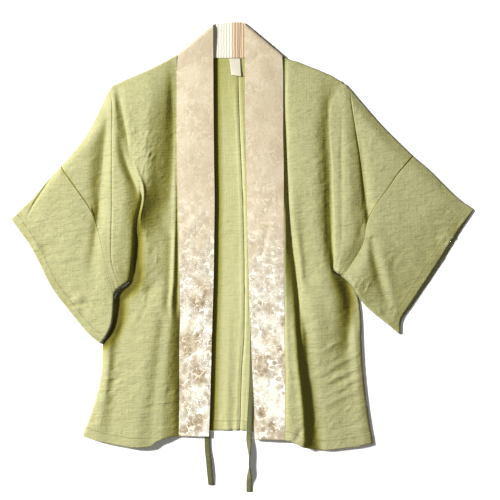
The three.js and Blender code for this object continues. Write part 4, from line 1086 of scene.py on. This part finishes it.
def scatter(satin, plan, cell):
    """Cells of about one size: each point's distance and direction from its cell's middle, and a chance."""
    sizes = {"Vector": plan, "Scale": 1 / (cell * MM), "Randomness": 0.8}
    chance = satin.add("TexVoronoi", {"voronoi_dimensions": "2D"}, sizes, output="Color")
    middle = chance.beside("Position")
    off = satin.add("VectorMath", {"operation": "SUBTRACT"}, {0: plan, 1: middle})
    chance = satin.add("SeparateXYZ", None, {0: chance}, output="X")
    x = satin.add("SeparateXYZ", None, {0: off}, output="X")
    y = x.beside("Y")
    distance = (x * x + y * y).maths("SQRT")
    angle = y.maths("ARCTAN2", x) + chance * (2 * math.pi)
    return distance * (1 / MM), angle, chance


def blossoms(satin, plan, table):
    """How far each point lies inside a blossom, and how far it is from the lines drawn in it."""
    distance, angle, chance = scatter(satin, plan, table["cell"])
    lobe = abs((angle * (PETALS / 2)).sine())
    rim = table["size"] * (1 - SIZE_VARIES * chance) * (1 - PETAL_DEPTH + PETAL_DEPTH * lobe)
    inner_rim = abs(distance - INNER_RIM * rim)
    spoke = abs((angle * PETALS).sine()) * distance * (1 / PETALS)
    return rim - distance, inner_rim.maths("MINIMUM", spoke)


def leaves(satin, plan, table):
    """How far each point lies inside a leaf, and how far it is from its middle vein."""
    distance, angle, chance = scatter(satin, plan, table["cell"])
    run = distance * angle.sine() * (1 / table["length"])
    off = abs(distance * (angle + math.pi / 2).sine())
    return table["width"] * (1 - run * run) * (1 - SIZE_VARIES + SIZE_VARIES * chance) - off, off


def overlaid(above, below):
    """Two layers of figures as one."""
    covered = above[0].maths("GREATER_THAN", 0)
    line = covered * above[1] + (1 - covered) * below[1]
    line = line.maths("MINIMUM", abs(above[0]))
    return above[0].maths("MAXIMUM", below[0]), line


def make_satin(name):
    """Champagne satin with a slightly duller woven pattern, and the plainer ribbed inside of the neck."""
    satin = Finish(name)
    place = satin.add("TexCoord", output="Object")
    across, lengthwise = satin.mark("across"), satin.mark("along")
    plan = satin.add("CombineXYZ", None, {"X": across, "Y": lengthwise})
    wander = satin.add("TexNoise", None, {"Vector": plan, "Scale": 120.0, "Detail": 2.0}, output="Color")
    wander = satin.add("VectorMath", {"operation": "SCALE"}, {0: wander, "Scale": 5 * MM})
    plan = satin.add("VectorMath", {"operation": "ADD"}, {0: plan, 1: wander})
    figures = overlaid(blossoms(satin, plan, BLOSSOMS), leaves(satin, plan, LEAVES))
    depth, line = overlaid(figures, blossoms(satin, plan, SMALL_BLOSSOMS))
    figure = depth.rise(-0.2, 0.2)
    inner = (1 - line.rise(0.5 * DRAWN_LINE, DRAWN_LINE)) * figure
    drawn = (1 - abs(depth).rise(0.5 * DRAWN_LINE, 1.3 * DRAWN_LINE)).maths("MAXIMUM", inner)
    turned = satin.mark("turned")
    fine = satin.noise(place, (500, 500, 500), detail=3)
    cloud = satin.noise(place, (14, 10, 14), detail=2)
    blotch = satin.noise(place, (40, 30, 40), detail=3, twist=0.5).rise(0.35, 0.65)
    # Towards the hem the pattern is drawn clearer and a highlight is painted, as the light there shows them
    low = 1 - satin.mark("from_hem").rise(PATTERN_CLEAR_BELOW, PATTERN_FAINT_ABOVE)
    # Patches where the satin has more real gloss and where a highlight is painted into its colour
    painted_highlight_and_gloss = satin.noise(place, (42, 24, 42), detail=4, twist=0.5).rise(0.36, 0.6) * (0.12 + 0.88 * low)
    ground = satin.mix(cloud.rise(0.3, 0.7), colour(0.475, 0.41, 0.295), colour(0.535, 0.475, 0.35))
    woven = satin.mix(fine, colour(0.455, 0.385, 0.27), colour(0.515, 0.445, 0.32))
    patterned = satin.mix(figure * (0.3 + 0.4 * blotch), ground, woven)
    # A highlight painted into the colour, near white
    patterned = satin.mix(painted_highlight_and_gloss, patterned, colour(0.66, 0.64, 0.56))
    # The pattern's lines are painted stronger towards the hem and fainter under the painted highlight
    strength = (0.25 + 0.75 * low) * (0.3 + 0.65 * blotch) * (1 - 0.35 * painted_highlight_and_gloss)
    patterned = satin.mix(drawn * strength, patterned, colour(0.2, 0.14, 0.07))
    sideways = satin.add("SeparateXYZ", None, {0: place}, output="X")
    rib = (sideways * (2 * math.pi / NECK_RIB) + 2.5 * satin.noise(place, (40, 90, 40))).sine()
    # The ribs are pale on the right band's side of the neck and brown near the centre back and beyond
    browner_share = sideways.rise(PALE_RIBS_END, BROWN_RIBS_START)
    lining = satin.mix(rib.rise(-0.2, 0.9), colour(0.57, 0.53, 0.44), colour(0.66, 0.63, 0.55))
    browner_ribs = satin.mix(rib.rise(-0.6, 0.4), colour(0.35, 0.25, 0.16), colour(0.52, 0.42, 0.3))
    inside_colour = satin.mix(browner_share, lining, browner_ribs)
    thread = (across * (2 * math.pi / SATIN_THREAD)).sine()
    height = 0.01 * thread * (1 - figure) + 0.4 * figure + 0.15 * fine * figure - 0.3 * drawn
    height = height * (1 - turned) + 0.8 * rib * turned
    gloss = (1 - turned) * (1 - 0.2 * figure) * (1 - 0.8 * drawn)
    satin.surface(
        base_color=satin.mix(turned, patterned, inside_colour),
        roughness=0.6 - 0.15 * gloss,
        coat_weight=gloss * (0.35 + 0.65 * painted_highlight_and_gloss),
        coat_roughness=0.34,
        coat_ior=2.6,
        normal=satin.bump(height, 0.2 * MM),
        sheen_weight=0.1,
    )
    return satin.material


cream_satin = make_satin("cream_satin_weave")


def band_piece(name, side, body, turn, shift):
    """Half of the band. Its pattern is moved along by shift, so that the two halves differ."""
    grid, across, lengthwise, turned = band_grid(side, body, turn)
    marks = dict(
        across=across * MM, along=(lengthwise + shift) * MM, from_hem=lengthwise * MM, turned=turned)
    piece = sew(name, [grid_piece(name, grid, marks)], BAND_CLOTH)
    piece.data.materials.append(cream_satin)
    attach(piece, "root")
    return piece


band_right = band_piece("collar_right_band", right_side, RIGHT_BODY, RIGHT_TURN, shift=1000)
band_left = band_piece("collar_left_band", left_side, LEFT_BODY, LEFT_TURN, shift=3000)
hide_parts("collar_right")
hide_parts("collar_left")

# Ties
# Two narrow strips of the same cloth, doubled and turned, that hang from under the bands and show below
# the hem. Their rows give the strip's middle, with the height of its lower edge, and its turn in degrees.
TIE_WIDTH = 9
TIE_CLOTH = 1.1
TIE_STITCHES = 3
TIE_MESH = 2.2
TIE_COLUMNS = 7
TIE_CROWN = 0.35
RIGHT_TIE = [
    dict(at=[-54, -88, 4.6], turn=0), dict(at=[-54.5, -110, 2.3], turn=0), dict(at=[-56, -200, 2.1], turn=0),
    dict(at=[-57.5, -270, 2.1], turn=0), dict(at=[-58, -298, 1.6], turn=0), dict(at=[-57.5, -318, 2], turn=0),
    dict(at=[-55.5, -336, 3.2], turn=0), dict(at=[-53.5, -358, 3.2], turn=0),
    dict(at=[-51.8, -375.4, 1.6], turn=0),
]
LEFT_TIE = [
    dict(at=[17, -88, 4.3], turn=0), dict(at=[17, -110, 2.3], turn=0), dict(at=[16, -200, 2.1], turn=0),
    dict(at=[12.5, -260, 2.1], turn=0), dict(at=[11.5, -285, 2.1], turn=5), dict(at=[10.8, -300, 1], turn=20),
    dict(at=[11, -314, 0.6], turn=55), dict(at=[11.2, -330, 0.6], turn=88),
    dict(at=[11.2, -346, 0.6], turn=88), dict(at=[11.3, -360, 0.6], turn=45),
    dict(at=[11.2, -372, 0.6], turn=8), dict(at=[11.2, -387, 0.6], turn=0),
]
# The same linen painted much darker, as shade on the ties; its last two colours are painted shade and painted
# shadow
tie_linen_painted_dark = make_linen(
    "tie_linen_painted_dark",
    light=colour(0.155, 0.155, 0.075),
    shade=colour(0.13, 0.13, 0.06),
    painted_shade=colour(0.1, 0.09, 0.03),
    painted_shadow_colour=colour(0.06, 0.05, 0.01),
)


def tie_piece(name, tie):
    """A strip along its middle line, turned on edge where its table says."""
    middle_rows = np.array([row["at"] for row in tie], float)
    steps = evenly(middle_rows[:, None], TIE_MESH)
    middle = along(middle_rows, steps)
    turn = np.radians(np.maximum(along([row["turn"] for row in tie], steps), 0))[:, None]
    share = np.linspace(-1, 1, TIE_COLUMNS)[None]
    half = TIE_WIDTH / 2
    x = middle[:, :1] + share * half * np.cos(turn)
    z = np.maximum(middle[:, 2:], TIE_CLOTH / 2) + (share + 1) * half * np.sin(turn)
    z = z + TIE_CROWN * (1 - share**2) * np.cos(turn)
    grid = np.stack([x, np.repeat(middle[:, 1:2], share.shape[1], axis=1), z], axis=2)
    off_stitches = (np.abs(share) * half - TIE_STITCHES) * MM + np.zeros(grid.shape[:2])
    marks = dict(painted_shade=np.zeros(grid.shape[:2]), off_stitches=off_stitches)
    piece = sew(name, [grid_piece(name, grid, marks)], TIE_CLOTH)
    piece.data.materials.append(tie_linen_painted_dark)
    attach(piece, "root")
    return piece


tie_right = tie_piece("tie_right_strip", RIGHT_TIE)
tie_left = tie_piece("tie_left_strip", LEFT_TIE)
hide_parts("tie_right")
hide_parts("tie_left")

# Neck label
# A small bare label of white woven tape, caught in the neck seam, which hangs a little crooked and
# curls up at its lower corner.
LABEL_CORNERS = [(-21.4, 327.4), (-3.6, 327.4), (-2, 297.6), (-18.5, 300)]
LABEL_CLOTH = 0.5
LABEL_LEVEL = 2.1
LABEL_CURL = 1.6
LABEL_ARCH = 0.4
LABEL_ROWS, LABEL_COLUMNS = 31, 19


def make_tape():
    tape = Finish("white_label_tape")
    place = tape.add("TexCoord", output="Object")
    ribs = tape.noise(place, (200, 2600, 200), detail=1)
    base = tape.mix(ribs, colour(0.47, 0.44, 0.36), colour(0.54, 0.51, 0.43))
    tape.surface(base_color=base, roughness=0.6, normal=tape.bump(ribs, 0.12 * MM), sheen_weight=0.15)
    return tape.material


top_left, top_right, low_right, low_left = (np.array(corner) for corner in LABEL_CORNERS)
down = np.linspace(0, 1, LABEL_ROWS)[:, None, None]
over = np.linspace(0, 1, LABEL_COLUMNS)[None, :, None]
label_top = top_left + over * (top_right - top_left)
label_foot = low_left + over * (low_right - low_left)
label_plan = (1 - down) * label_top + down * label_foot
label_z = LABEL_LEVEL + LABEL_CURL * down**3 * over + LABEL_ARCH * np.sin(math.pi * over) * down
label_grid = np.concatenate([label_plan, label_z], axis=2)
label = sew("neck_label_tape", [grid_piece("neck_label_tape", label_grid, {})], LABEL_CLOTH)
label.data.materials.append(make_tape())
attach(label, "root")
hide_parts("neck_label")
